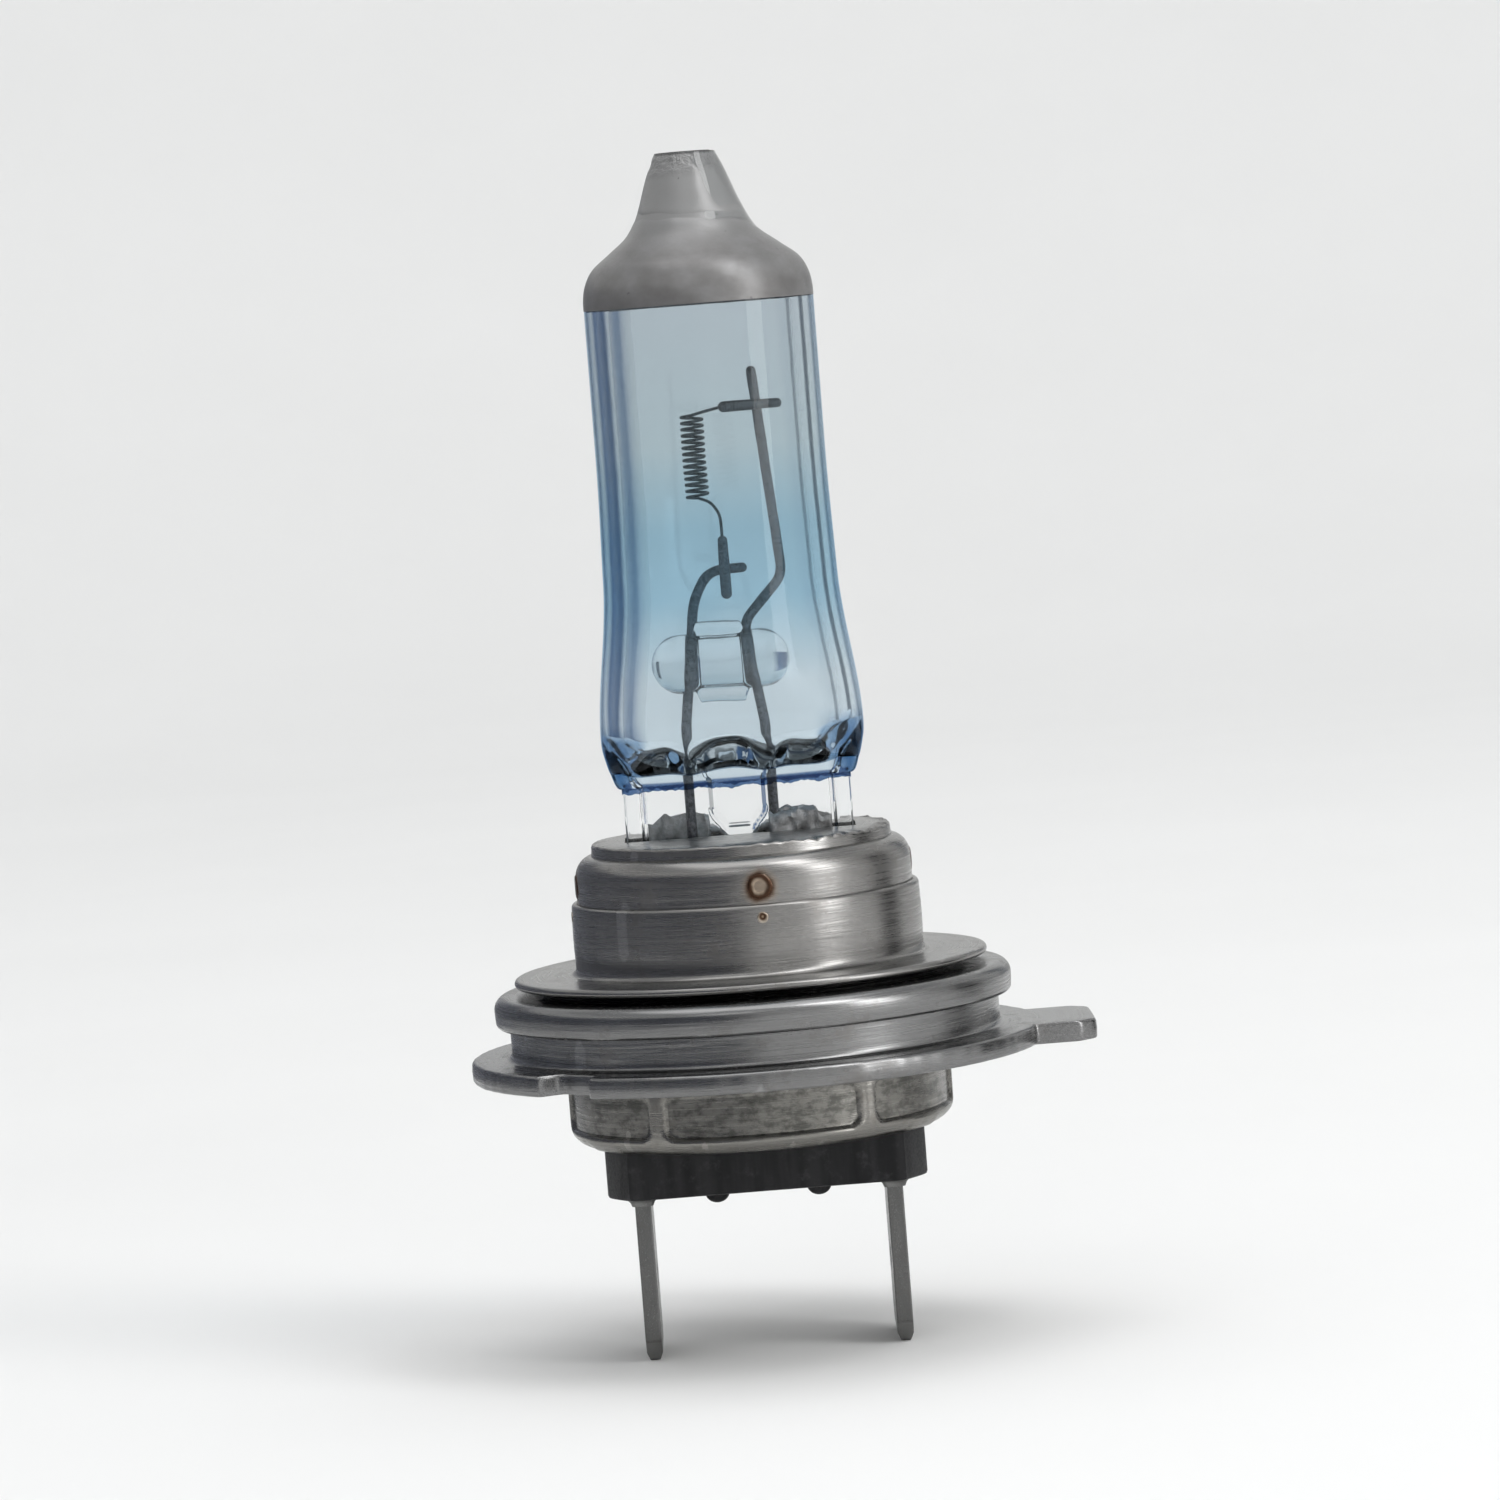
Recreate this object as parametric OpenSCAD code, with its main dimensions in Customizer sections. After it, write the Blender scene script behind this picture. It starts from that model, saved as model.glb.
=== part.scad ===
// Halogen headlight bulb with a two-blade prefocus base.
// +Z runs from the contact blades to the glass tip. The origin lies on the bulb's axis in the
// seat plane: the upper face of the collar's lip, which touches the reflector and from which
// the light centre length is measured. The blades stand at -X and +X, the locating tab at +X.

/* [Glass] */
// Outer diameter of the tube at the edge of the tip coating
tube_d = 11.2; // [11:0.1:11.5]
// Outer diameter of the shoulder above the pinch
shoulder_d = 12.9; // [12.5:0.1:13.1]
// Wall thickness of the tube
glass_wall = 1.1; // [0.9:0.1:1.2]
// Height of the cut tip above the seat plane
tip_z = 39.9; // [39:0.1:41]
// Diameter of the cut end of the exhaust tip
tip_d = 2.7; // [2.2:0.1:3]
// Height of the lower edge of the tip coating
tip_coat_z = 32.5; // [31.8:0.1:32.8]
// Height of the underside of the shoulder, where the flat pinch starts
pinch_top_z = 8.9; // [8.7:0.1:9]
// Width of the pinch
pinch_w = 11.2; // [10.8:0.1:11.3]
// Thickness of the pinch's edge ribs
pinch_rib_t = 3; // [2.8:0.1:3]
// Thickness of the pinch between its ribs
pinch_web_t = 2.2; // [2:0.1:2.4]
// Thickness of the two coatings
coating_t = 0.05; // [0.04:0.01:0.08]

/* [Filament] */
// Light centre length, from the seat plane to the middle of the coil
light_centre = 25; // [24.9:0.05:25.1]
// Length of the coil
coil_len = 4.1; // [4:0.05:4.2]
// Outer diameter of the coil
coil_d = 1.2; // [1.1:0.05:1.3]
// Diameter of the coiled wire
coil_wire_d = 0.15; // [0.12:0.01:0.16]
// Number of turns, a whole number and a half
coil_turns = 13.5; // [11.5:1:14.5]
// Diameter of the two inner lead wires
lead_d = 0.5; // [0.45:0.01:0.5]
// Distance between the lead wires in the pinch
lead_gap = 4.1; // [4:0.05:4.2]

/* [Metal base] */
// Diameter of the lamp cup that holds the glass
cup_d = 16.6; // [16.4:0.1:16.7]
// Diameter of the collar that centres the bulb in the reflector
collar_d = 17.2; // [17.1:0.1:17.4]
// Height of the collar above the seat plane
collar_h = 3.5; // [3.4:0.1:3.6]
// Diameter of the lip that carries the seat plane
lip_d = 23.4; // [23:0.1:23.8]
// Diameter of the prefocus ring under the lip
ring_d = 25.6; // [25.4:0.1:25.8]
// Diameter of the locating flange
flange_d = 28.2; // [27.8:0.1:28.4]
// Distance from the axis to the end of the locating tab
tab_reach = 16.7; // [16.2:0.1:17]
// Width of the locating tab
tab_w = 7; // [6:0.5:8]
// Diameter of the base shell
shell_d = 18.9; // [18.8:0.1:19.2]

/* [Contacts] */
// Width of a contact blade
blade_w = 6.3; // [6:0.1:6.3]
// Thickness of a contact blade
blade_t = 0.8; // [0.75:0.05:0.85]
// Distance between the middles of the two blades
blade_gap = 12.4; // [12.2:0.1:12.6]
// Distance from the seat plane to the blade tips
blade_reach = 19.2; // [18.8:0.1:19.6]

/* [Hidden] */
$fn = 96;
eps = 0.02;

// Glass envelope
tube_r = tube_d / 2;
tip_r = tip_d / 2;
shoulder_r = shoulder_d / 2;
flare_r = tube_r + 0.15;
flare_top_z = 17;
flare_end_z = 11.4;
corner_r = 1.5;
dome_z = tip_coat_z + 0.4;
dome_rise = 2.2;
dome_run = 3.2;
dome_stop_angle = 70;
dome_blend_angle = 8;
neck_bow = 0.55;
neck_bow_rise = 1.6;
inner_dome_drop = 0.8;
inner_dome_rise = 1.9;
neck_r = tube_r - dome_run + dome_run * cos(dome_stop_angle);
neck_z = dome_z + dome_rise * sin(dome_stop_angle);
cavity_bottom_z = pinch_top_z + 1.5;
cavity_corner_r = 1.2;
cavity_flare_end_z = flare_end_z + 0.6;
pinch_bottom_z = -3;
edge_rib_w = 0.9;
centre_rib_w = 2.6;
centre_rib_z = 6.25;
centre_rib_cut_x = 0.5;
centre_rib_cut_z = 0.8;
chisel_top_z = 16.5;
chisel_bottom_y = 1.6;
chisel_bulge_y = 4.6;
chisel_bulge_z = pinch_top_z + 1.5;
coating_edge_z = pinch_top_z + 0.25;

// Wires, foils and bead. They stand a little off the tube's axis, as they were sealed in.
mount_x = -0.3;
lead_r = lead_d / 2;
lead_x = lead_gap / 2;
lead_clearance = 0.01;
lead_lean_z = 11.2;
lead_bend_z = 16.7;
lead_bend_x = 1.3;
foil_w = 2.2;
foil_t = 0.08;
foil_top_z = 5.2;
foil_bottom_z = -1.8;
outer_lead_r = 0.3;
outer_lead_bend_z = -3.7;
bead_z = 14.9;
bead_r = 1.45;
bead_len = 6.8;
bead_pad_w = 2.3;
bead_pad_h = 3.9;
bead_pad_t = 2.2;

// Filament and the sleeves that join it to the lead wires
coil_x = -0.5;
coil_r = (coil_d - coil_wire_d) / 2;
coil_steps = 14;
coil_sides = 6;
leg_r = coil_wire_d / 2;
sleeve_r = 0.27;
sleeve_bore_r = 0.1;
sleeve_bore_l = 2.2;
sleeve_y = -(lead_r + sleeve_r + 0.005);
upper_sleeve_z = light_centre + 2.35;
upper_sleeve_x = [0.95, 3.8];
lower_sleeve_x = 0.55;
lower_sleeve_z = [18.05, 20.9];

// Metal base
sheet_t = 0.4;
cup_r = cup_d / 2;
collar_r = collar_d / 2;
holder_skirt_r = cup_r - sheet_t;
holder_neck_r = 7.4;
cup_bottom_z = 0.4;
cup_shoulder_z = 4.7;
cup_top_z = 5.8;
holder_bottom_z = 1;
holder_top_z = 6.4;
slot_clearance = 0.1;
lip_t = 0.4;
edge_round = 0.2;
grip_t = 0.4;
grip_foot_t = 0.3;
grip_reach = 3.2;
grip_top_z = 7.4;
grip_bottom_z = 3;
grip_gap = 0.15;
grip_step_x = 0.6;
grip_step_z = 0.4;
grip_cut_x = 0.45;
grip_bend_l = 0.5;
grip_corner_r = 0.8;
weld_r = 0.5;
weld_angles = [5, 95, 185, 275];
upper_weld_z = 4.35;
lower_weld_z = 2.75;
weld_band = 0.7;
ring_r = ring_d / 2;
ring_land_r = 10.3;
ring_top_z = -0.8;
ring_bottom_z = -2.3;
ring_t = 0.7;
ring_edge_r = 0.6;
ring_land_slope = 0.4;
flange_r = flange_d / 2;
flange_top_z = -3.9;
flange_bottom_z = -4.9;
web_t = 0.6;
web_hole_r = 8.6;
tab_chamfer = 0.8;
web_z = -4.8;
notch_depth = 1.3;
notch_floor_w = 2.4;
notch_mouth_w = 3.8;
notch_angles = [132.5, 227.5];
shell_r = shell_d / 2;
shell_t = 0.5;
shell_bottom_z = -8.4;
shell_corner_r = 0.9;
panel_depth = 0.15;
panel_z = [-7.7, -5.4];
// Start and sweep of each shallow panel round the shell, from the front at -Y
panels = [[-30, 60], [36, 50], [-86, 50], [150, 60], [94, 50], [216, 50]];

// Insulator and contacts
block_w = 15.7;
block_depth = 11;
block_r = 8.7;
block_top_z = -5;
block_bottom_z = -10.8;
nub_r = 0.6;
nub_x = 2.5;
nub_y = 3.6;
block_chamfer = 0.5;
blade_root_w = 2;
blade_root_neck_x = 0.25;
blade_root_h = 0.55;
blade_root_l = 7.2;
blade_x = blade_gap / 2;
blade_tail_w = 4.2;
blade_tail_z = -8.6;
blade_tip_taper = 1.1;
blade_tip_bevel = 0.6;
detent_r = 0.75;
detent_z = -15.2;

// Curves

function arc(centre, rx, ry, from, to, steps) = [for (i = [0:steps])
    let (a = from + (to - from) * i / steps) [centre[0] + rx * cos(a), centre[1] + ry * sin(a)]];

function bezier(p, q, r, steps) = [for (i = [0:steps])
    let (t = i / steps) (1 - t) * (1 - t) * p + 2 * t * (1 - t) * q + t * t * r];

function smooth(t) = t * t * (3 - 2 * t);

// A path through points p with each corner cut back by d and rounded
function rounded(p, d, steps) = concat([p[0]],
    [for (i = [1:len(p) - 2], q = bezier(p[i] + d * unit(p[i - 1] - p[i]), p[i],
        p[i] + d * unit(p[i + 1] - p[i]), steps)) q],
    [p[len(p) - 1]]);

function unit(v) = v / norm(v);

function tangent(path, i) =
    unit(path[min(i + 1, len(path) - 1)] - path[max(i - 1, 0)]);

function square_to(n, t) = unit(n - (n * t) * t);

// Rings of points round a path. The ring's first direction is carried along without twist.
function tube_points(path, r, sides, start) = [
    for (i = 0, n = square_to(start, tangent(path, 0)); i < len(path);
        i = i + 1, n = i < len(path) ? square_to(n, tangent(path, i)) : n)
    let (b = cross(tangent(path, i), n))
    for (k = [0:sides - 1]) path[i] + r * (cos(360 * k / sides) * n + sin(360 * k / sides) * b)];

function tube_faces(count, sides) = concat(
    [[for (k = [sides - 1:-1:0]) k]],
    [for (i = [0:count - 2], k = [0:sides - 1], low = [true, false])
        let (a = i * sides + k, b = i * sides + (k + 1) % sides)
        low ? [a, b, b + sides] : [a, b + sides, a + sides]],
    [[for (k = [0:sides - 1]) (count - 1) * sides + k]]);

module tube(path, r, sides = 12, start = [0, 1, 0]) {
    polyhedron(points = tube_points(path, r, sides, start),
        faces = [for (f = tube_faces(len(path), sides)) [for (i = [len(f) - 1:-1:0]) f[i]]],
        convexity = 10);
}

// A straight round rod from point a to point b
module rod(a, b, r) {
    d = b - a;
    translate(a)
        rotate([0, acos(d[2] / norm(d)), atan2(d[1], d[0])])
            cylinder(h = norm(d), r = r);
}

// Glass envelope

// Outline of the tube from the cut tip down to the rounded corner of the shoulder, grown by g
function outer_outline(g) = concat(
    bezier([tip_r + g, tip_z + g], [neck_r - neck_bow + g, neck_z + neck_bow_rise],
        [neck_r + g, neck_z + g], 8),
    arc([tube_r - dome_run, dome_z], dome_run + g, dome_rise + g,
        dome_stop_angle - dome_blend_angle, 0, 10),
    [for (i = [0:10]) let (t = i / 10)
        [flare_r + g + (shoulder_r - flare_r) * smooth(t),
        flare_top_z + (flare_end_z - flare_top_z) * t]],
    arc([shoulder_r - corner_r, pinch_top_z + corner_r], corner_r + g, corner_r + g, 0, -90, 8));

// The inner surface: a dome at the top, the flare, and a rounded lower corner
inner_outline = concat(
    arc([0, dome_z - inner_dome_drop], tube_r - glass_wall, inner_dome_rise, 90, 0, 10),
    [for (i = [0:10]) let (t = i / 10)
        [flare_r - glass_wall + (shoulder_r - flare_r) * smooth(t),
        flare_top_z + (cavity_flare_end_z - flare_top_z) * t]],
    arc([shoulder_r - glass_wall - cavity_corner_r, cavity_bottom_z + cavity_corner_r],
        cavity_corner_r, cavity_corner_r, 0, -90, 6));

// The tube narrows to the pinch like a chisel when seen along X; w adds to each side
module chisel(w, bottom) {
    side = concat(
        [[shoulder_r + 1, tip_z + 1], [shoulder_r + 1, chisel_top_z + 1]],
        bezier([shoulder_r + w, chisel_top_z], [chisel_bulge_y + w, chisel_bulge_z],
            [chisel_bottom_y + w, bottom], 10));
    rotate([90, 0, 90])
        linear_extrude(height = 4 * shoulder_r, center = true)
            polygon(concat(side, [for (i = [len(side) - 1:-1:0]) [-side[i][0], side[i][1]]]));
}

// The solid shape of the tube without its hollow, grown by g
module envelope_shape(g) {
    outline = outer_outline(g);
    intersection() {
        rotate_extrude()
            polygon(concat([[0, tip_z + g]], outline, [[0, pinch_top_z - g]]));
        chisel(g, pinch_top_z - 1);
    }
}

module pinch() {
    half = pinch_w / 2;
    height = pinch_top_z + eps - pinch_bottom_z;
    translate([-half, -pinch_web_t / 2, pinch_bottom_z])
        cube([pinch_w, pinch_web_t, height]);
    for (x = [-half, half - edge_rib_w])
        translate([x, -pinch_rib_t / 2, pinch_bottom_z])
            cube([edge_rib_w, pinch_rib_t, height]);
    rib = centre_rib_w / 2;
    rib_foot = rib - centre_rib_cut_x;
    rib_cut_z = centre_rib_z + centre_rib_cut_z;
    rotate([90, 0, 0])
        linear_extrude(height = pinch_rib_t, center = true)
            polygon([[-rib, pinch_top_z + eps], [-rib, rib_cut_z], [-rib_foot, centre_rib_z],
                [rib_foot, centre_rib_z], [rib, rib_cut_z], [rib, pinch_top_z + eps]]);
}

module glass_envelope() {
    color([0.8, 0.88, 0.92, 0.4])
        difference() {
            union() {
                envelope_shape(0);
                pinch();
            }
            intersection() {
                rotate_extrude()
                    polygon(concat(inner_outline, [[0, cavity_bottom_z]]));
                chisel(-glass_wall, cavity_bottom_z - 1);
            }
            for (x = [mount_x - lead_x, mount_x + lead_x]) {
                translate([x, 0, foil_top_z])
                    cylinder(h = lead_lean_z - foil_top_z, r = lead_r + lead_clearance);
                translate([x - foil_w / 2, -foil_t / 2, foil_bottom_z])
                    cube([foil_w, foil_t, foil_top_z - foil_bottom_z]);
                translate([x, 0, pinch_bottom_z - eps])
                    cylinder(h = foil_bottom_z - pinch_bottom_z + eps,
                        r = outer_lead_r + lead_clearance);
            }
        }
}

// Height bands of the two coatings
module above(z) {
    translate([-shoulder_d, -shoulder_d, z])
        cube([2 * shoulder_d, 2 * shoulder_d, tip_z + 2 - z]);
}

module tip_coating() {
    color([0.56, 0.56, 0.56])
        intersection() {
            difference() {
                envelope_shape(coating_t);
                envelope_shape(0);
            }
            above(tip_coat_z);
        }
}

module blue_coating() {
    color([0.35, 0.55, 0.72, 0.5])
        difference() {
            envelope_shape(coating_t);
            envelope_shape(0);
            above(tip_coat_z);
            translate([-shoulder_d, -shoulder_d, pinch_top_z - 1])
                cube([2 * shoulder_d, 2 * shoulder_d, coating_edge_z - pinch_top_z + 1]);
        }
}

// Filament and its wires

module on_mount(z = 0) {
    translate([mount_x, 0, z]) children();
}

module filament() {
    top = light_centre + coil_len / 2;
    steps = coil_steps * coil_turns;
    helix = [for (i = [0:steps]) let (a = -90 - 360 * coil_turns * i / steps)
        [coil_x + coil_r * cos(a), coil_r * sin(a), top - coil_len * i / steps]];
    upper_leg = [[upper_sleeve_x[0] + sleeve_bore_l - 0.2, sleeve_y, upper_sleeve_z],
        [upper_sleeve_x[0] - 0.1, sleeve_y, upper_sleeve_z],
        [coil_x + 0.4, -coil_r, top + 0.04]];
    lower_leg = rounded([[coil_x + 0.15, coil_r, top - coil_len],
        [lower_sleeve_x, 0.1, top - coil_len - 0.3],
        [lower_sleeve_x, sleeve_y, lower_sleeve_z[1] + 0.4],
        [lower_sleeve_x, sleeve_y, lower_sleeve_z[0] + 0.6]], 0.3, 5);
    color([0.28, 0.28, 0.3])
        on_mount() tube(concat(upper_leg, helix, lower_leg), leg_r, coil_sides, [0, 0, 1]);
}

module upper_leg_sleeve() {
    color([0.3, 0.31, 0.33])
        translate([mount_x + upper_sleeve_x[0], sleeve_y, upper_sleeve_z])
            rotate([0, 90, 0])
                difference() {
                    cylinder(h = upper_sleeve_x[1] - upper_sleeve_x[0], r = sleeve_r, $fn = 32);
                    translate([0, 0, -eps])
                        cylinder(h = sleeve_bore_l, r = sleeve_bore_r, $fn = 32);
                }
}

module lower_leg_sleeve() {
    height = lower_sleeve_z[1] - lower_sleeve_z[0];
    color([0.3, 0.31, 0.33])
        translate([mount_x + lower_sleeve_x, sleeve_y, lower_sleeve_z[0]])
            difference() {
                cylinder(h = height, r = sleeve_r, $fn = 32);
                translate([0, 0, 0.5])
                    cylinder(h = height, r = sleeve_bore_r, $fn = 32);
            }
}

// The stretch that both lead wires share: up through the pinch and leaning in through the bead
function lead_start(side) = [[side * lead_x, 0, foil_top_z], [side * lead_x, 0, lead_lean_z],
    [side * lead_bend_x, 0, lead_bend_z]];

module lead_wire(points) {
    color([0.36, 0.37, 0.39])
        on_mount() tube(rounded(points, 0.35, 5), lead_r, 12, [0, 1, 0]);
}

module long_lead_wire() {
    lead_wire(concat(lead_start(1), [[3.45, 0, 19], [2.9, 0, 24.2], [2.6, 0, 29.2]]));
}

module short_lead_wire() {
    lead_wire(concat(lead_start(-1), [[-1.1, 0, 18], [-0.4, 0, 19.3], [1.5, 0, 19.4]]));
}

module bridge_bead() {
    reach = bead_len / 2 - bead_r;
    color([0.85, 0.9, 0.92, 0.5])
        on_mount(bead_z) difference() {
            union() {
                rotate([0, 90, 0])
                    rotate_extrude()
                        polygon(concat([[0, -bead_len / 2]],
                            arc([0, -reach], bead_r, bead_r, -80, 0, 8),
                            arc([0, reach], bead_r, bead_r, 0, 80, 8),
                            [[0, bead_len / 2]]));
                translate([-bead_pad_w / 2, -bead_pad_t / 2, -bead_pad_h / 2])
                    cube([bead_pad_w, bead_pad_t, bead_pad_h]);
            }
            translate([0, 0, -bead_z])
                for (side = [-1, 1])
                    rod([side * lead_x, 0, lead_lean_z], [side * lead_bend_x, 0, lead_bend_z],
                        lead_r + lead_clearance);
        }
}

module lead_foil(side) {
    color([0.6, 0.6, 0.62])
        translate([mount_x + side * lead_x - foil_w / 2, -foil_t / 2, foil_bottom_z])
            cube([foil_w, foil_t, foil_top_z - foil_bottom_z]);
}

module outer_lead(side) {
    start_x = mount_x + side * lead_x;
    path = [[start_x, 0, foil_bottom_z], [start_x, 0, outer_lead_bend_z],
        [side * blade_x, 0, outer_lead_bend_z], [side * blade_x, 0, block_top_z]];
    color([0.62, 0.62, 0.64])
        tube(rounded(path, 0.5, 5), outer_lead_r, 12, [0, 1, 0]);
}

// Metal base

// Draws its children at the front for side -1 and at the rear for side 1
module facing(side) {
    if (side > 0) children();
    else mirror([0, 1, 0]) children();
}

// One tongue of a clip, with the stepped and clipped corners of its cut end
module grip_tongue(w) {
    rotate([90, 0, 0])
        mirror([0, 0, 1])
            linear_extrude(height = grip_t)
                polygon([[0, grip_bottom_z], [w, grip_bottom_z], [w, grip_top_z - grip_step_z],
                    [w - grip_cut_x, grip_top_z], [grip_step_x, grip_top_z],
                    [grip_step_x, grip_top_z - grip_step_z / 2],
                    [0, grip_top_z - grip_step_z]]);
}

// Folded strip that lies on the holder and grips one flat face of the pinch with two tongues
module grip_clip(side) {
    web = pinch_web_t / 2;
    inner_x = centre_rib_w / 2 + grip_gap;
    outer_x = pinch_w / 2 - edge_rib_w - grip_gap;
    tongue_w = outer_x - inner_x;
    color([0.5, 0.5, 0.5])
        facing(side) {
            difference() {
                translate([-outer_x, web + grip_t + slot_clearance, holder_top_z])
                    cube([2 * outer_x, grip_reach - web - grip_t - slot_clearance, grip_foot_t]);
                for (x = [-outer_x, outer_x])
                    translate([x, grip_reach, holder_top_z - eps])
                        cylinder(h = 1, r = grip_corner_r);
            }
            for (x = [-outer_x, inner_x]) {
                translate([x, web, 0])
                    grip_tongue(tongue_w);
                translate([x, web + grip_t - eps, holder_top_z])
                    cube([tongue_w, grip_bend_l, grip_foot_t + grip_bend_l / 2]);
            }
        }
}

// Radial cylinder at one height and one angle from the front
module weld_rod(angle, z) {
    rotate([0, 0, angle - 90])
        translate([0, 0, z])
            rotate([0, 90, 0])
                cylinder(h = collar_r + 1, r = weld_r, $fn = 48);
}

module weld_rods() {
    for (angle = weld_angles) {
        weld_rod(angle, upper_weld_z);
        weld_rod(angle, lower_weld_z);
    }
}

module ring_between(r_in, r_out, low, high) {
    translate([0, 0, low])
        difference() {
            cylinder(h = high - low, r = r_out);
            translate([0, 0, -eps])
                cylinder(h = high - low + 2 * eps, r = r_in);
        }
}

module weld_nuggets() {
    color([0.45, 0.36, 0.3])
        for (angle = weld_angles) {
            intersection() {
                weld_rod(angle, upper_weld_z);
                ring_between(holder_skirt_r - sheet_t, cup_r, upper_weld_z - weld_band,
                    upper_weld_z + weld_band);
            }
            intersection() {
                weld_rod(angle, lower_weld_z);
                ring_between(holder_skirt_r, collar_r, lower_weld_z - weld_band,
                    lower_weld_z + weld_band);
            }
        }
}

// Drawn cup with a slot in its top, through which the pinch stands
module pinch_holder() {
    neck = holder_neck_r;
    top = holder_top_z;
    outline = concat([[holder_skirt_r, holder_bottom_z]],
        arc([neck, cup_shoulder_z], holder_skirt_r - neck, cup_top_z - sheet_t - cup_shoulder_z,
            0, 90, 6),
        arc([neck - edge_round, top - edge_round], edge_round, edge_round, 0, 90, 4),
        [[0, top], [0, top - sheet_t], [neck - sheet_t, top - sheet_t]],
        [[neck - sheet_t, cup_top_z - sheet_t], [holder_skirt_r - sheet_t, cup_shoulder_z],
        [holder_skirt_r - sheet_t, holder_bottom_z]]);
    slot_w = pinch_w + 2 * slot_clearance;
    slot_t = pinch_rib_t + 2 * slot_clearance;
    color([0.52, 0.52, 0.52])
        difference() {
            rotate_extrude()
                polygon(outline);
            translate([-slot_w / 2, -slot_t / 2, top - 1])
                cube([slot_w, slot_t, 2]);
            weld_rods();
        }
}

module lamp_cup() {
    neck = holder_neck_r;
    run = cup_r - neck;
    rise = cup_top_z - cup_shoulder_z;
    color([0.5, 0.5, 0.5])
        difference() {
            rotate_extrude()
                polygon(concat([[cup_r, cup_bottom_z]],
                    arc([neck, cup_shoulder_z], run, rise, 0, 90, 8),
                    arc([neck, cup_shoulder_z], run - sheet_t, rise - sheet_t, 90, 0, 6),
                    [[holder_skirt_r, cup_bottom_z]]));
            weld_rods();
        }
}

// The collar meets the lip in a mitre that runs from the seat plane down to the lip's inner edge
module alignment_collar() {
    color([0.55, 0.55, 0.54])
        difference() {
            rotate_extrude()
                polygon(concat([[cup_r, -lip_t], [collar_r, 0]],
                    arc([collar_r - edge_round, collar_h - edge_round], edge_round, edge_round,
                        0, 90, 4),
                    [[cup_r, collar_h]]));
            weld_rods();
        }
}

// Thin plate round the collar's foot. Its upper face is the seat plane.
module seat_lip() {
    lip = lip_d / 2;
    color([0.55, 0.55, 0.54])
        rotate_extrude()
            polygon(concat([[cup_r, -lip_t], [lip - edge_round, -lip_t]],
                arc([lip - edge_round, -lip_t / 2], edge_round, lip_t / 2, -90, 90, 6),
                [[collar_r, 0]]));
}

module prefocus_ring() {
    wall = ring_r - ring_t;
    color([0.48, 0.48, 0.48])
        rotate_extrude()
            polygon(concat([[web_hole_r, -lip_t], [ring_land_r, -lip_t],
                [ring_land_r + ring_land_slope, ring_top_z]],
                arc([ring_r - ring_edge_r, ring_top_z - ring_edge_r], ring_edge_r, ring_edge_r,
                    90, 0, 6),
                arc([ring_r - edge_round, ring_bottom_z + edge_round], edge_round, edge_round,
                    0, -90, 4),
                [[wall, ring_bottom_z], [wall, ring_top_z - ring_t],
                [web_hole_r, ring_top_z - ring_t]]));
}

module locating_flange() {
    neck = ring_r - ring_t;
    half = tab_w / 2;
    color([0.42, 0.42, 0.42])
        difference() {
            union() {
                ring_between(neck - web_t, neck, web_z, ring_top_z - ring_t);
                ring_between(web_hole_r, neck, web_z, web_z + web_t);
                translate([0, 0, flange_bottom_z])
                    linear_extrude(height = flange_top_z - flange_bottom_z)
                        difference() {
                            union() {
                                circle(r = flange_r);
                                polygon([[0, -half], [tab_reach - tab_chamfer, -half],
                                    [tab_reach, tab_chamfer - half],
                                    [tab_reach, half - tab_chamfer],
                                    [tab_reach - tab_chamfer, half], [0, half]]);
                            }
                            circle(r = neck - web_t / 2);
                            for (angle = notch_angles)
                                rotate([0, 0, angle])
                                    polygon([[flange_r - notch_depth, -notch_floor_w / 2],
                                        [flange_r + 1, -notch_mouth_w / 2],
                                        [flange_r + 1, notch_mouth_w / 2],
                                        [flange_r - notch_depth, notch_floor_w / 2]]);
                        }
            }
        }
}

// Opening in the shell's floor and outline of the insulator's lower block, grown by g
module block_outline(g) {
    intersection() {
        circle(r = block_r + g);
        square([block_w + 2 * g, block_depth + 2 * g], center = true);
    }
}

module base_shell() {
    inner_r = shell_r - shell_t;
    inner_corner = shell_corner_r - shell_t + 0.1;
    floor_z = shell_bottom_z + shell_t;
    color([0.6, 0.6, 0.58])
        difference() {
            rotate_extrude()
                polygon(concat([[0, shell_bottom_z]],
                    arc([shell_r - shell_corner_r, shell_bottom_z + shell_corner_r],
                        shell_corner_r, shell_corner_r, -90, 0, 8),
                    [[shell_r, web_z], [inner_r, web_z]],
                    arc([inner_r - inner_corner, floor_z + inner_corner], inner_corner,
                        inner_corner, 0, -90, 5),
                    [[0, floor_z]]));
            translate([0, 0, shell_bottom_z - eps])
                linear_extrude(height = shell_t + 2 * eps)
                    block_outline(0);
            for (p = panels)
                rotate([0, 0, p[0] - 90])
                    translate([0, 0, panel_z[0]])
                        rotate_extrude(angle = p[1])
                            translate([shell_r - panel_depth, 0])
                                square([1, panel_z[1] - panel_z[0]]);
        }
}

// Insulator and contacts

// Staked collar that holds a blade against the underside of the block
module blade_root(side) {
    neck = blade_t / 2 + blade_root_neck_x;
    foot = blade_t / 2 + blade_root_neck_x / 2;
    translate([side * blade_x, 0, block_bottom_z])
        rotate([90, 0, 0])
            linear_extrude(height = blade_root_l, center = true)
                polygon([[-blade_root_w / 2, 0], [-neck, -blade_root_h / 2],
                    [-foot, -blade_root_h], [foot, -blade_root_h],
                    [neck, -blade_root_h / 2], [blade_root_w / 2, 0]]);
}

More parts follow.
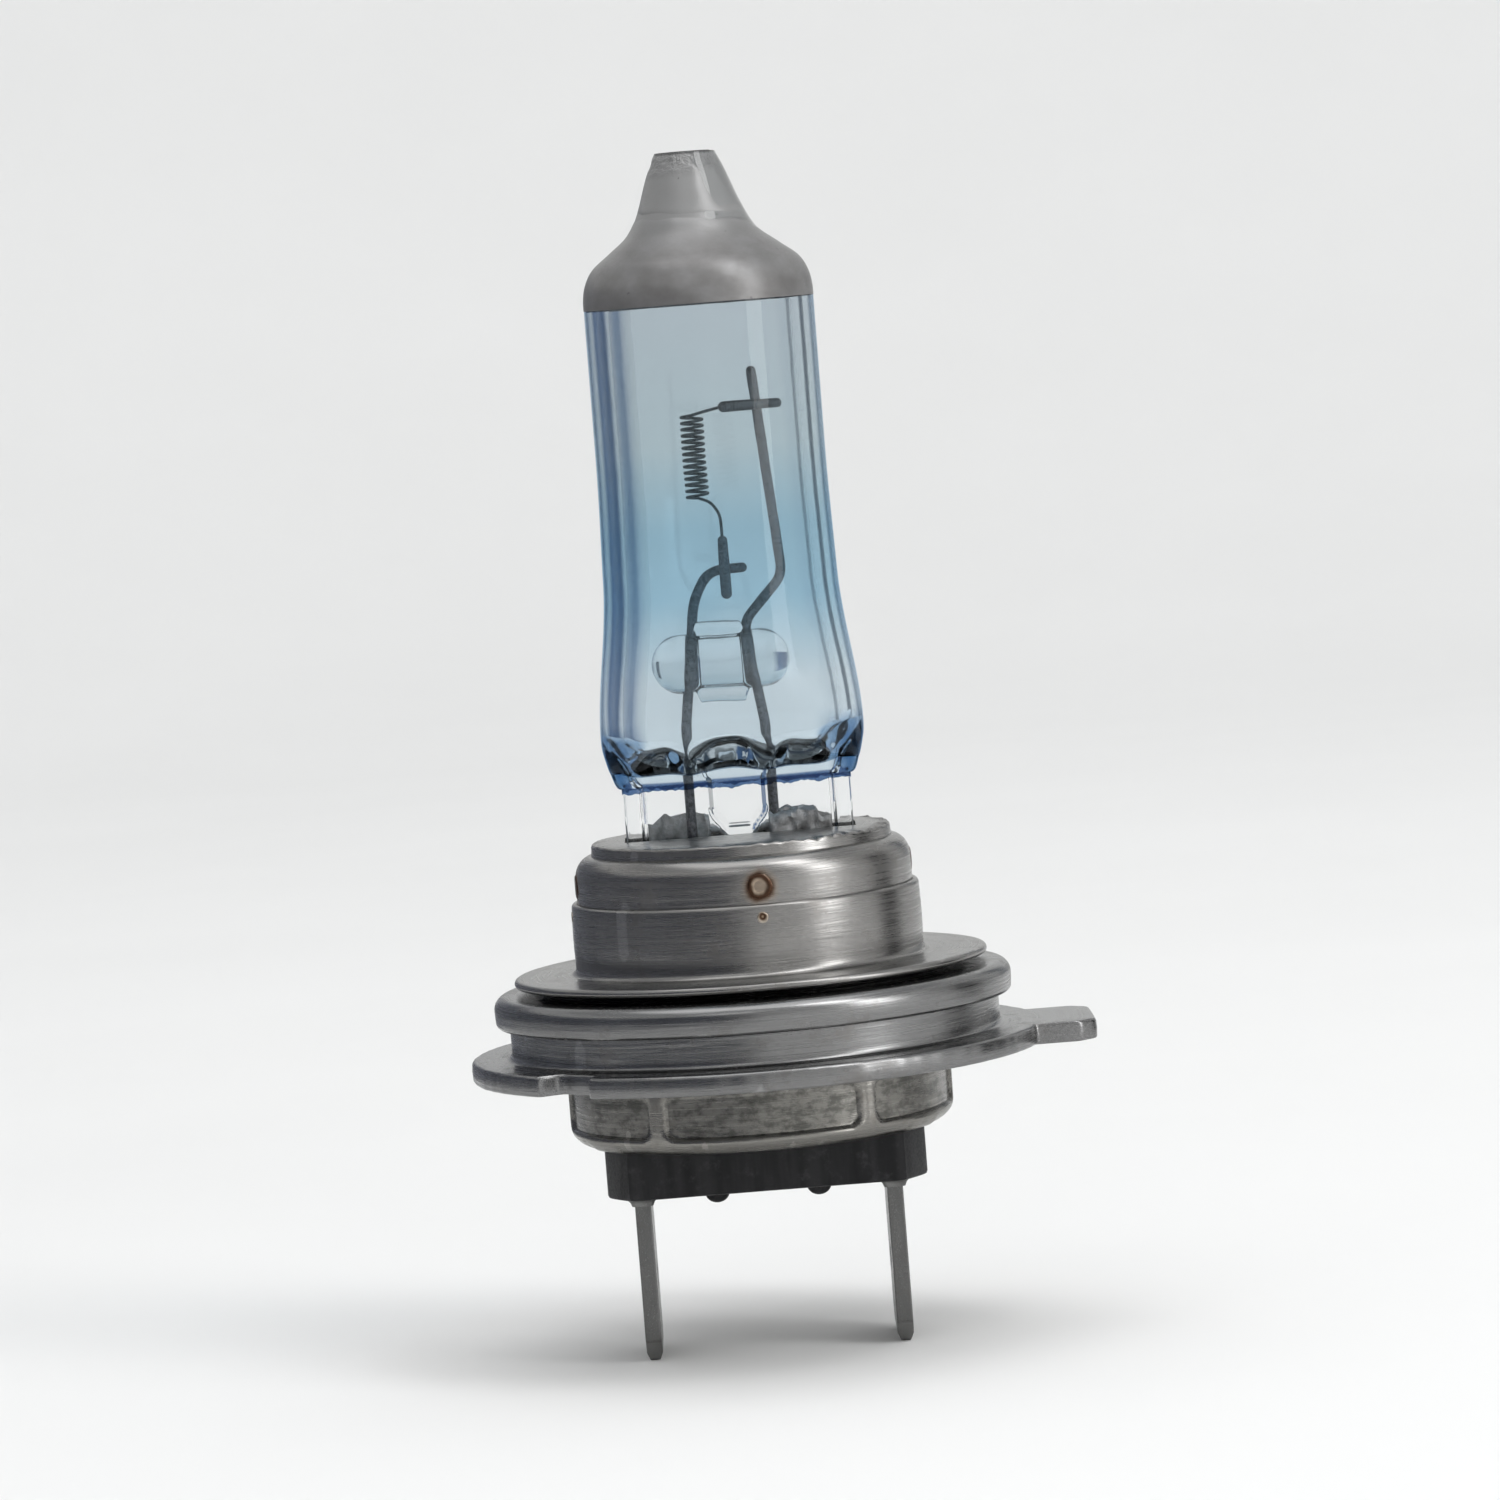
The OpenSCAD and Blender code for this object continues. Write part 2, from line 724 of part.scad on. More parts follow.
module insulator_block() {
    disc_r = shell_r - shell_t;
    floor_z = shell_bottom_z + shell_t;
    color([0.12, 0.12, 0.13])
        difference() {
            union() {
                rotate_extrude()
                    polygon([[0, block_top_z], [disc_r, block_top_z],
                        [disc_r, floor_z + block_chamfer], [disc_r - block_chamfer, floor_z],
                        [0, floor_z]]);
                translate([0, 0, block_bottom_z])
                    linear_extrude(height = floor_z - block_bottom_z + eps)
                        block_outline(0);
                for (nub = [[nub_x, -nub_y], [-nub_x, nub_y], [-nub_x, -nub_y]])
                    translate([nub[0], nub[1], block_bottom_z])
                        sphere(r = nub_r, $fn = 32);
            }
            blade_shape(-1);
            blade_shape(1);
        }
}

// Blade with a narrower tail, a pointed and bevelled tip, and no detent hole
module blade_shape(side) {
    half = blade_w / 2;
    tail = blade_tail_w / 2;
    thin = blade_t / 2;
    translate([side * blade_x, 0, 0])
        intersection() {
            rotate([90, 0, 90])
                linear_extrude(height = blade_t, center = true)
                    polygon([[-tail, block_top_z], [-tail, blade_tail_z], [-half, blade_tail_z],
                        [-half, -blade_reach + blade_tip_taper],
                        [-half + blade_tip_taper, -blade_reach],
                        [half - blade_tip_taper, -blade_reach],
                        [half, -blade_reach + blade_tip_taper], [half, blade_tail_z],
                        [tail, blade_tail_z], [tail, block_top_z]]);
            rotate([90, 0, 0])
                linear_extrude(height = 2 * blade_w, center = true)
                    polygon([[-thin, block_top_z], [-thin, -blade_reach + blade_tip_bevel],
                        [-thin / 2, -blade_reach], [thin / 2, -blade_reach],
                        [thin, -blade_reach + blade_tip_bevel], [thin, block_top_z]]);
        }
}

module contact_blade(side) {
    color([0.58, 0.58, 0.56])
        difference() {
            union() {
                blade_shape(side);
                blade_root(side);
            }
            translate([side * blade_x - blade_t, 0, detent_z])
                rotate([0, 90, 0])
                    cylinder(h = 2 * blade_t, r = detent_r, $fn = 48);
        }
}

glass_envelope();
tip_coating();
blue_coating();
filament();
upper_leg_sleeve();
lower_leg_sleeve();
long_lead_wire();
short_lead_wire();
bridge_bead();
lead_foil(1);  // long_lead_foil
lead_foil(-1);  // short_lead_foil
outer_lead(1);  // long_outer_lead
outer_lead(-1);  // short_outer_lead
grip_clip(-1);  // front_grip_clip
grip_clip(1);  // rear_grip_clip
pinch_holder();
lamp_cup();
weld_nuggets();
alignment_collar();
seat_lip();
prefocus_ring();
locating_flange();
base_shell();
insulator_block();
contact_blade(-1);  // left_contact_blade
contact_blade(1);  // right_contact_blade
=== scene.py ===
"""Looks of the halogen headlight bulb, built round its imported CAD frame.

Lengths here are in millimetres until a mesh is made, which is in metres. The bulb's axis is Z, its
seat plane is z = 0 and the front, which faces the camera, is at -Y.
"""

import math

import bmesh
import bpy
from mathutils import Matrix, Vector, noise


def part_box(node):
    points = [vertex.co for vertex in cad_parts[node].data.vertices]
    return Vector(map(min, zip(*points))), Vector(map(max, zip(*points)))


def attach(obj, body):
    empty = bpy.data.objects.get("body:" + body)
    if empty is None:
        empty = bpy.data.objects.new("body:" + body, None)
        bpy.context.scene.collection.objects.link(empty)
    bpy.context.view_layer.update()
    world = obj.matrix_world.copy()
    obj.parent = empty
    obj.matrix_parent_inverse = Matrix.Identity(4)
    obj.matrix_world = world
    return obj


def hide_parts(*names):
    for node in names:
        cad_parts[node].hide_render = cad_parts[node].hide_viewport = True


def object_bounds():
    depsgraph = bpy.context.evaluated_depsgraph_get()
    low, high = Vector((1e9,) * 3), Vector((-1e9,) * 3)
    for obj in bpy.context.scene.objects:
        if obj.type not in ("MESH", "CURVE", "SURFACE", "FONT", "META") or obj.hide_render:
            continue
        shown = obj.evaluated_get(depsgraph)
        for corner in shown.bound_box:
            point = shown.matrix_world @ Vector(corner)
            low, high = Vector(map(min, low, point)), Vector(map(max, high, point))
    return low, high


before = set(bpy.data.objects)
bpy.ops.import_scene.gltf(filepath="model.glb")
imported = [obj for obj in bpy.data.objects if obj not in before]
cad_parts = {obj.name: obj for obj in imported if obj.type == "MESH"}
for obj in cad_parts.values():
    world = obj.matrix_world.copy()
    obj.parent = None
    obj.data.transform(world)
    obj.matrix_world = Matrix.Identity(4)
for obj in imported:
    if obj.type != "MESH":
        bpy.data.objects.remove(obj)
CAD_BOX = [list(corner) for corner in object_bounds()]
MM = 0.001
BODY = "root"


# Shapes

def lerp(a, b, t):
    return a + (b - a) * t


def smooth(t):
    """0 below 0, 1 above 1, and an S curve between."""
    t = min(max(t, 0.0), 1.0)
    return t * t * (3 - 2 * t)


def curve_through(points, x):
    """The height at x of a smooth curve through (x, y) points. The first and last only steer it."""
    i = max(k for k in range(1, len(points) - 2) if k == 1 or points[k][0] <= x)
    (x0, y0), (x1, y1), (x2, y2), (x3, y3) = points[i - 1:i + 3]
    step, t = x2 - x1, (x - x1) / (x2 - x1)
    leave, arrive = (y2 - y0) / (x2 - x0) * step, (y3 - y1) / (x3 - x1) * step
    return (y1 + t * leave + t * t * (3 * (y2 - y1) - 2 * leave - arrive)
            + t ** 3 * (leave + arrive - 2 * (y2 - y1)))


def box_mm(node):
    low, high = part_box(node)
    return low / MM, high / MM


def wobble(x, y, z, size, seed=0.0):
    """Smooth noise from -1 to 1 whose bumps are about size across."""
    return noise.noise(Vector((x / size + seed, y / size - seed, z / size + 2 * seed)))


def arc(centre, radius, start, end, steps=6):
    """Points on an arc in the (r, z) plane. radius may be a pair, for an ellipse."""
    rx, rz = radius if isinstance(radius, tuple) else (radius, radius)
    angles = [math.radians(lerp(start, end, i / steps)) for i in range(steps + 1)]
    return [(centre[0] + rx * math.cos(a), centre[1] + rz * math.sin(a)) for a in angles]


def rounded(points, radius, steps=4, closed=False):
    """The same path with its corners rounded. radius is one number, or one for each point."""
    points = [Vector(p) for p in points]
    count = len(points)
    radii = radius if isinstance(radius, (list, tuple)) else [radius] * count
    out = []
    for i, p in enumerate(points):
        if (not closed and i in (0, count - 1)) or radii[i] <= 0:
            out.append(p)
            continue
        before, after = points[i - 1] - p, points[(i + 1) % count] - p
        back = min(radii[i], 0.45 * before.length, 0.45 * after.length)
        a, b = p + before.normalized() * back, p + after.normalized() * back
        for t in (k / steps for k in range(steps + 1)):
            out.append(a * (1 - t) ** 2 + p * 2 * t * (1 - t) + b * t * t)
    return out


def clean_mesh(name, shape, gap, edit=None):
    """A mesh whose doubled points are merged, whose faces point outwards, and that edit changes."""
    mesh = bpy.data.meshes.new(name)
    mesh.from_pydata(shape[0], [], shape[1])
    bm = bmesh.new()
    bm.from_mesh(mesh)
    bmesh.ops.remove_doubles(bm, verts=bm.verts, dist=gap)
    bmesh.ops.recalc_face_normals(bm, faces=bm.faces)
    if edit:
        edit(bm)
    bm.to_mesh(mesh)
    bm.free()
    return mesh


def read_out(mesh):
    """The points and faces of a mesh, which is then removed."""
    shape = [v.co.copy() for v in mesh.vertices], [tuple(f.vertices) for f in mesh.polygons]
    bpy.data.meshes.remove(mesh)
    return shape


def link(name, data):
    """A new object in the scene."""
    thing = bpy.data.objects.new(name, data)
    bpy.context.scene.collection.objects.link(thing)
    return thing


def add_piece(name, shape, stands_for, material, flat_angle=40, edit=None):
    """Makes a piece from a shape in millimetres, with its finish, and ties it to the frame."""
    verts, faces = shape
    mesh = clean_mesh(name, ([Vector(v) * MM for v in verts], faces), 1e-7, edit)
    mesh.materials.append(material)
    mesh.shade_smooth()
    mesh.set_sharp_from_angle(angle=math.radians(flat_angle))
    piece = link(name, mesh)
    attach(piece, BODY)
    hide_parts(*stands_for)


def full_turn(count):
    """Evenly spaced angles, once round."""
    return [2 * math.pi * k / count for k in range(count)]


def stacked(rings, ends="flat"):
    """A skin through rings of points. Its ends are flat faces, or open, or joined in a loop."""
    count, sides = len(rings), len(rings[0])
    faces = []
    for i in range(count if ends == "joined" else count - 1):
        low, high = i * sides, (i + 1) % count * sides
        for k in range(sides):
            n = (k + 1) % sides
            faces.append((low + k, low + n, high + n, high + k))
    if ends == "flat":
        faces.append(tuple(range(sides))[::-1])
        faces.append(tuple((count - 1) * sides + k for k in range(sides)))
    return [point for ring in rings for point in ring], faces


def turned(section, angles=300, change=None):
    """A closed (r, z) loop carried round the axis. section is the loop, or a function of the angle.

    change moves each point, for dents and waves. angles is a list, or how many equal steps.
    """
    rings = []
    for angle in full_turn(angles) if isinstance(angles, int) else angles:
        loop = section(angle) if callable(section) else section
        ring = [Vector((r * math.cos(angle), r * math.sin(angle), z)) for r, z in loop]
        rings.append([change(point) for point in ring] if change else ring)
    return stacked(rings, "joined")


def straight(a, b, step=0.3):
    """Points from a up to, but without, b."""
    count = max(int(math.dist(a, b) / step), 1)
    return [tuple(lerp(p, q, i / count) for p, q in zip(a, b)) for i in range(count)]


def rounded_box(half_x, half_y, corner, steps=5):
    """Outline of a rectangle with round corners, centred on the origin."""
    points = []
    for turn, (sx, sy) in enumerate(((1, 1), (-1, 1), (-1, -1), (1, -1))):
        centre = (sx * (half_x - corner), sy * (half_y - corner))
        points += arc(centre, corner, 90 * turn, 90 * turn + 90, steps)
    return points


def rippled(amount, size=2.5, seed=0.0):
    """A change for turned() that pushes points in and out a little."""
    def change(p):
        out = Vector((p.x, p.y, 0)).normalized()
        return p + out * amount * wobble(p.x, p.y, p.z, size, seed)
    return change


def slab(outlines, thickness, bevel):
    """A flat plate in the XY plane with bevelled edges. Outlines after the first are holes."""
    curve = bpy.data.curves.new("slab", "CURVE")
    curve.dimensions, curve.fill_mode = "2D", "BOTH"
    curve.extrude, curve.bevel_depth = thickness / 2 - bevel, bevel
    curve.offset, curve.bevel_resolution = -bevel, 1
    for outline in outlines:
        spline = curve.splines.new("POLY")
        spline.points.add(len(outline) - 1)
        spline.use_cyclic_u = True
        for point, (x, y) in zip(spline.points, outline):
            point.co = (x, y, 0, 1)
    holder = bpy.data.objects.new("slab", curve)
    shape = read_out(bpy.data.meshes.new_from_object(holder))
    bpy.data.objects.remove(holder)
    bpy.data.curves.remove(curve)
    return shape


def parted(shape, planes):
    """A shape with its faces parted along planes, so that the wear at its edges stays near them."""
    def part(bm):
        for point, normal in planes:
            everything = bm.verts[:] + bm.edges[:] + bm.faces[:]
            bmesh.ops.bisect_plane(bm, geom=everything, dist=1e-5, plane_co=point,
                                   plane_no=normal)
    return read_out(clean_mesh("shape", shape, 1e-4, part))


def combined(shapes, operation="UNION"):
    """One closed skin from the first shape and the others: their union, or what operation names."""
    made = [link("shape", clean_mesh("shape", shape, 1e-4)) for shape in shapes]
    for other in made[1:]:
        step = made[0].modifiers.new("step", "BOOLEAN")
        step.operation, step.object, step.solver = operation, other, "EXACT"
    done = made[0].evaluated_get(bpy.context.evaluated_depsgraph_get())
    shape = read_out(bpy.data.meshes.new_from_object(done))
    for thing in made:
        old = thing.data
        bpy.data.objects.remove(thing)
        bpy.data.meshes.remove(old)
    return shape


def tube(path, radius, sides=16, round_end=True):
    """A round rod along a path. radius is a number, or a function of the place along it, 0 to 1."""
    path = [Vector(p) for p in path]
    last = len(path) - 1
    normal = (path[1] - path[0]).orthogonal().normalized()
    dome = [(math.cos(a), math.sin(a)) for a in (math.pi / 2, 1.2, 0.8, 0.4, 0.05)]
    rings = []
    for i, p in enumerate(path):
        along = (path[min(i + 1, last)] - path[max(i - 1, 0)]).normalized()
        normal = (normal - along * normal.dot(along)).normalized()
        across = along.cross(normal)
        r = radius(i / last) if callable(radius) else radius
        layers = [(0, 1)]
        if round_end and i == 0:
            layers = [(-shift, share) for shift, share in dome[::-1]]
        elif round_end and i == last:
            layers = dome
        for shift, share in layers:
            centre = p + along * shift * r
            rings.append([centre + (normal * math.cos(a) + across * math.sin(a)) * r * share
                          for a in full_turn(sides)])
    return stacked(rings)


def joined(*parts):
    """Several (points, faces) shapes as one."""
    verts, faces = [], []
    for part_verts, part_faces in parts:
        faces += [tuple(i + len(verts) for i in face) for face in part_faces]
        verts += part_verts
    return verts, faces


# Finishes

def scaled(colour, by):
    return tuple(by * c for c in colour)


class Finish:
    """One procedural material. Its methods add nodes and return the socket to use next."""

    def __init__(self, name):
        self.material = bpy.data.materials.new(name)
        self.material.use_nodes = True
        self.tree = self.material.node_tree
        self.tree.nodes.clear()
        self.place = self.node("TexCoord").outputs["Object"]

    def node(self, kind, inputs=None, **settings):
        made = self.tree.nodes.new("ShaderNode" + kind)
        for key, value in settings.items():
            setattr(made, key, value)
        for key, value in (inputs or {}).items():
            self.feed(made.inputs[key], value)
        return made

    def feed(self, socket, value):
        if isinstance(value, bpy.types.NodeSocket):
            self.tree.links.new(value, socket)
        elif isinstance(value, tuple) and len(value) == 3 and len(socket.default_value) == 4:
            socket.default_value = (*value, 1)
        else:
            socket.default_value = value

    def math(self, operation, a, b=0.0):
        return self.node("Math", {0: a, 1: b}, operation=operation).outputs[0]

    def times(self, a, b):
        return self.math("MULTIPLY", a, b)

    def plus(self, a, b):
        return self.math("ADD", a, b)

    def length(self, a, b):
        """The length of the vector (a, b)."""
        return self.math("SQRT", self.plus(self.times(a, a), self.times(b, b)))

    def part(self, axis):
        """One coordinate of the place on the piece, in millimetres."""
        return self.times(self.node("SeparateXYZ", {0: self.place}).outputs[axis], 1 / MM)

    def round_place(self, around=1.0, radial=1.0, height=1.0):
        """Coordinates in millimetres that run round the axis, outwards and up, each stretched."""
        x, y, z = (self.part(axis) for axis in "XYZ")
        return self.node("CombineXYZ", {
            0: self.times(self.math("ARCTAN2", y, x), around),
            1: self.times(self.length(x, y), radial), 2: self.times(z, height)}).outputs[0]

    def stretched(self, x=1.0, y=1.0, z=1.0):
        """Coordinates in millimetres, each stretched."""
        return self.node("Mapping", {"Vector": self.place,
                                     "Scale": (x / MM, y / MM, z / MM)}).outputs[0]

    def noise(self, scale=1.0, detail=3.0, roughness=0.55, distortion=0.0, place=None):
        """Noise over the place on the piece in millimetres, or over another place."""
        return self.node("TexNoise", {"Vector": place or self.stretched(), "Scale": scale,
                                      "Detail": detail, "Roughness": roughness,
                                      "Distortion": distortion}).outputs["Fac"]

    def between(self, value, low, high, out_low=0.0, out_high=1.0, kind="SMOOTHSTEP"):
        """Maps value from the range low..high to out_low..out_high."""
        return self.node("MapRange", {"Value": value, "From Min": low, "From Max": high,
                                      "To Min": out_low, "To Max": out_high},
                         interpolation_type=kind).outputs[0]

    def blend(self, share, a, b, kind="MIX"):
        """Two colours mixed."""
        return self.node("Mix", {0: share, 6: a, 7: b}, data_type="RGBA",
                         blend_type=kind).outputs[2]

    def ramp(self, value, *stops):
        """A colour ramp through (place, colour) stops."""
        made = self.node("ValToRGB", {0: value})
        ramp = made.color_ramp
        while len(ramp.elements) < len(stops):
            ramp.elements.new(1.0)
        for element, (place, colour) in zip(ramp.elements, stops):
            element.position = place
            element.color = (*colour, 1)
        return made.outputs[0]

    def bump(self, height, depth_mm, strength=1.0, below=None):
        inputs = {"Height": height, "Strength": strength, "Distance": depth_mm * MM}
        if below is not None:
            inputs["Normal"] = below
        return self.node("Bump", inputs).outputs[0]

    def show(self, clear_tint=None, **inputs):
        """The finished material: a principled shader. With clear_tint, light passes through it
        to what is behind, because shadow rays go straight through.
        """
        surface = self.node("BsdfPrincipled", {
            key.replace("_", " ").title().replace("Ior", "IOR"): value
            for key, value in inputs.items()}).outputs[0]
        if clear_tint:
            surface = self.node("MixShader", {
                0: self.node("LightPath").outputs["Is Shadow Ray"], 1: surface,
                2: self.node("BsdfTransparent", {"Color": clear_tint}).outputs[0]}).outputs[0]
        self.node("OutputMaterial", {"Surface": surface})
        return self.material


def quartz(name, ior):
    finish, tint = Finish(name), (0.97, 0.985, 0.99)
    waves = finish.noise(420, 2, place=finish.place)
    return finish.show(tint, base_color=tint, roughness=0.0, ior=ior, transmission_weight=1.0,
                       normal=finish.bump(waves, 0.02, 0.35))


def blue_film():
    """The filter film: its tint is strongest at mid height, at its lower edge and edge-on."""
    finish = Finish("blue_filter_film")
    z = finish.part("Z")
    cloud = finish.noise(0.7, 3, place=finish.round_place(3, 0, 0.25))
    height = finish.plus(z, finish.times(finish.math("SUBTRACT", cloud, 0.5), 1.2))
    tint = finish.ramp(finish.between(height, 8, 33, kind="LINEAR"),
                       (0.00, (0.84, 0.89, 0.92)), (0.24, (0.84, 0.89, 0.92)),
                       (0.40, (0.62, 0.77, 0.85)), (0.54, (0.60, 0.74, 0.81)),
                       (0.70, (0.73, 0.795, 0.82)), (1.00, (0.75, 0.785, 0.81)))
    facing = finish.node("LayerWeight", {"Blend": 0.5}).outputs["Facing"]
    tint = finish.blend(finish.between(facing, 0.6, 0.97, 0, 0.45), tint, (0.42, 0.58, 0.76),
                        "MULTIPLY")
    x = finish.math("ABSOLUTE", finish.part("X"))
    corner = finish.times(finish.between(x, 4.5, 5.7), finish.between(z, 12.4, 10.6))
    tint = finish.blend(corner, tint, (0.24, 0.38, 0.55))
    tint = finish.blend(finish.between(z, 9.1, 8.98), tint, (0.1, 0.18, 0.34))
    return finish.show(tint, base_color=tint, roughness=0.0, ior=1.0, transmission_weight=1.0,
                       coat_weight=0.15, coat_roughness=0.02, coat_ior=1.8,
                       coat_tint=(0.93, 0.97, 1.0))


def tip_paint():
    finish = Finish("grey_tip_paint")
    z = finish.part("Z")
    patches = finish.noise(0.55, 3, place=finish.stretched(1, 1, 1.4))
    colour = finish.ramp(patches, (0.3, (0.132, 0.128, 0.126)), (0.52, (0.165, 0.162, 0.161)),
                         (0.72, (0.2, 0.199, 0.2)))
    colour = finish.blend(finish.between(z, 35, 37), colour, (0.23, 0.23, 0.23))
    specks = finish.between(finish.noise(2.6, 1), 0.25, 0.22)
    colour = finish.blend(specks, colour, (0.1, 0.1, 0.1))
    # Painted shade: a thin dark line is laid along the broken top rim of the paint.
    edge = finish.between(z, TIP_Z - 0.16, TIP_Z - 0.04, 0, 0.85)
    colour = finish.blend(edge, colour, (0.06, 0.06, 0.06))
    chips = finish.times(finish.noise(2.1, 3, 0.6, 0.5),
                         finish.between(z, TIP_Z - 1.3, TIP_Z - 0.3))
    fine = finish.noise(9, 5, 0.7)
    normal = finish.bump(fine, 0.012, 0.5, finish.bump(chips, 0.35, 0.8))
    return finish.show(base_color=colour, metallic=0.5, coat_weight=0.25, coat_roughness=0.3,
                       roughness=finish.between(fine, 0.3, 0.7, 0.36, 0.48), normal=normal)


def wire(name, colour, rough=0.42, grain=0.04):
    """Dull drawn wire with darker scale on it."""
    finish = Finish(name)
    scale = finish.noise(6, 4, 0.7)
    tone = finish.blend(finish.between(scale, 0.3, 0.7), scaled(colour, 0.4), scaled(colour, 1.5))
    return finish.show(base_color=tone, metallic=0.85, roughness=rough,
                       normal=finish.bump(scale, grain, 0.8))


def weld_stain(finish, tone, height, ring, halo):
    """Adds a laser weld's brown ring and straw-coloured halo at one height, every quarter turn."""
    x, y, z = (finish.part(axis) for axis in "XYZ")
    angle = finish.math("SUBTRACT", finish.math("ARCTAN2", y, x), WELD_ANGLE)
    quarter = finish.node("Math", {0: angle, 1: math.pi / 4, 2: -math.pi / 4},
                          operation="WRAP").outputs[0]
    reach = finish.length(finish.times(quarter, CUP_R), finish.math("SUBTRACT", z, height))
    reach = finish.plus(reach, finish.between(finish.noise(1.1, 2), 0.3, 0.7, -0.08, 0.08))
    tone = finish.blend(finish.between(reach, 2.2 * ring, ring, 0, halo), tone,
                        (0.26, 0.185, 0.12))
    band = finish.times(finish.between(reach, 0.5 * ring, 0.95 * ring),
                        finish.between(reach, 1.7 * ring, 1.1 * ring))
    return finish.blend(band, tone, (0.062, 0.034, 0.022))


def steel(name, colour=(0.25, 0.245, 0.238), rough=0.27, around=True, dirt=0.3, stain_scale=0.5,
          welds=(), windows=False):
    """Drawn stainless steel with fine lines that run round the axis, or along Y if not around."""
    finish = Finish(name)
    if around:
        places = finish.round_place(0.8, 9, 14), finish.round_place(1.3, 0.6, 1.8)
    else:
        places = finish.stretched(14, 0.6, 9), finish.stretched(1.8, 0.3, 0.6)
    geometry = finish.node("NewGeometry").outputs
    level = finish.node("SeparateXYZ", {0: geometry["Normal"]}).outputs["Z"]
    level = finish.between(finish.math("ABSOLUTE", level), 0.5, 0.95, 1, 0.2)
    lines = finish.math("SUBTRACT", finish.noise(1, 4, 0.7, place=places[0]), 0.5)
    lines = finish.plus(finish.times(lines, level), 0.5)
    broad = finish.noise(1, 3, 0.6, 0.6, places[1])
    tone = finish.blend(broad, scaled(colour, 0.72), scaled(colour, 1.2))
    tone = finish.blend(finish.between(lines, 0.35, 0.7), tone, scaled(colour, 0.84))
    stain = finish.between(finish.noise(stain_scale, 4, 0.7), 0.52, 0.74, 0, dirt)
    tone = finish.blend(stain, tone, (0.13, 0.115, 0.10))
    for height, ring, halo in welds:
        tone = weld_stain(finish, tone, height, ring, halo)
    if windows:
        reach = finish.node("SeparateXYZ", {0: finish.round_place()}).outputs["Y"]
        pressed_in = finish.times(finish.between(reach, SHELL_R - 0.06, SHELL_R - 0.15),
                                  finish.between(finish.part("Z"), -7.9, -7.6))
        mottle = finish.between(finish.noise(1, 4, 0.7, place=finish.round_place(9, 0, 1.6)),
                                0.42, 0.62, 0.15, 0.75)
        tone = finish.blend(finish.times(pressed_in, mottle), tone, (0.06, 0.06, 0.055))
    tone = finish.blend(finish.between(geometry["Pointiness"], 0.53, 0.6, 0, 0.45), tone,
                        scaled(colour, 1.7))
    roughness = finish.plus(finish.between(lines, 0.3, 0.7, rough - 0.07, rough + 0.09),
                            finish.times(stain, 0.3))
    normal = finish.bump(broad, 0.05, 0.35, finish.bump(lines, 0.006, 0.6))
    return finish.show(base_color=tone, metallic=1.0, roughness=roughness, normal=normal)


def rough_steel():
    finish = Finish("rough_clip_steel")
    grit = finish.noise(7, 5, 0.75)
    tone = finish.blend(finish.times(grit, finish.noise(1.6, 3)), (0.104, 0.104, 0.104),
                        (0.624, 0.624, 0.624))
    return finish.show(base_color=tone, metallic=0.8, roughness=0.5,
                       normal=finish.bump(grit, 0.05, 0.8))


def weld():
    finish = Finish("heat_tinted_weld")
    grit = finish.noise(6, 4, 0.7)
    tone = finish.blend(grit, (0.30, 0.25, 0.20), (0.56, 0.52, 0.47))
    for height, ring, halo in WELD_STAINS:
        tone = weld_stain(finish, tone, height, ring, halo)
    return finish.show(base_color=tone, metallic=1.0, roughness=0.34,
                       normal=finish.bump(grit, 0.03, 0.6))


def black_plastic():
    finish = Finish("black_insulator")
    grain = finish.noise(8, 4, 0.65)
    streaks = finish.noise(1, 3, place=finish.stretched(1.1, 1.1, 0.12))
    tone = finish.blend(finish.between(streaks, 0.35, 0.65), (0.004, 0.004, 0.005),
                        (0.014, 0.014, 0.015))
    dust = finish.between(finish.noise(0.9, 5, 0.75), 0.5, 0.8)
    tone = finish.blend(dust, tone, (0.035, 0.035, 0.037))
    return finish.show(base_color=tone, roughness=finish.between(grain, 0.3, 0.7, 0.36, 0.55),
                       specular_ior_level=0.22, normal=finish.bump(grain, 0.02, 0.6))


def backdrop_finish():
    finish = Finish("pale_backdrop")
    tone = finish.blend(finish.noise(0.02, 3), (0.78, 0.78, 0.775), (0.82, 0.82, 0.815))
    return finish.show(base_color=tone, roughness=0.9)


# Glass envelope

TIP_Z = box_mm("glass_envelope")[1].z
PINCH_BOTTOM_Z = box_mm("glass_envelope")[0].z
PAINT_EDGE_Z = box_mm("tip_coating")[0].z
TUBE_R = box_mm("tip_coating")[1].x - 0.05
SHOULDER_R = box_mm("glass_envelope")[1].x
WALL = 1.1
PINCH_HALF_W = 5.6
RIB_HALF_T = 1.5
WEB_HALF_T = 1.1
PINCH_TOP_Z = 9.0
SHOULDER_FOOT_Z = 9.45
SHOULDER_Z = 11.5
FLAT_TOP_Z = 15.5
FLARE_TOP_Z = 19.0
RIBS_TOP_Z = 11.4
DOME_Z = PAINT_EDGE_Z + 0.4
# (height above DOME_Z, radius) up the painted end. The first and last points only steer the curve.
TIP_PROFILE = ((-0.8, TUBE_R + 0.05), (0, TUBE_R), (0.8, 5.46), (1.6, 5.02), (2.3, 4.14),
               (3.1, 3.17), (4.4, 2.45), (6.1, 1.78), (TIP_Z - DOME_Z, 1.36),
               (TIP_Z - DOME_Z + 1, 0.9))
NECK_Z, GROOVE_Z, TIP_LEAN = 34, 36.75, 0.22
SIDE_POINTS = 8
FACE_POINTS = 112


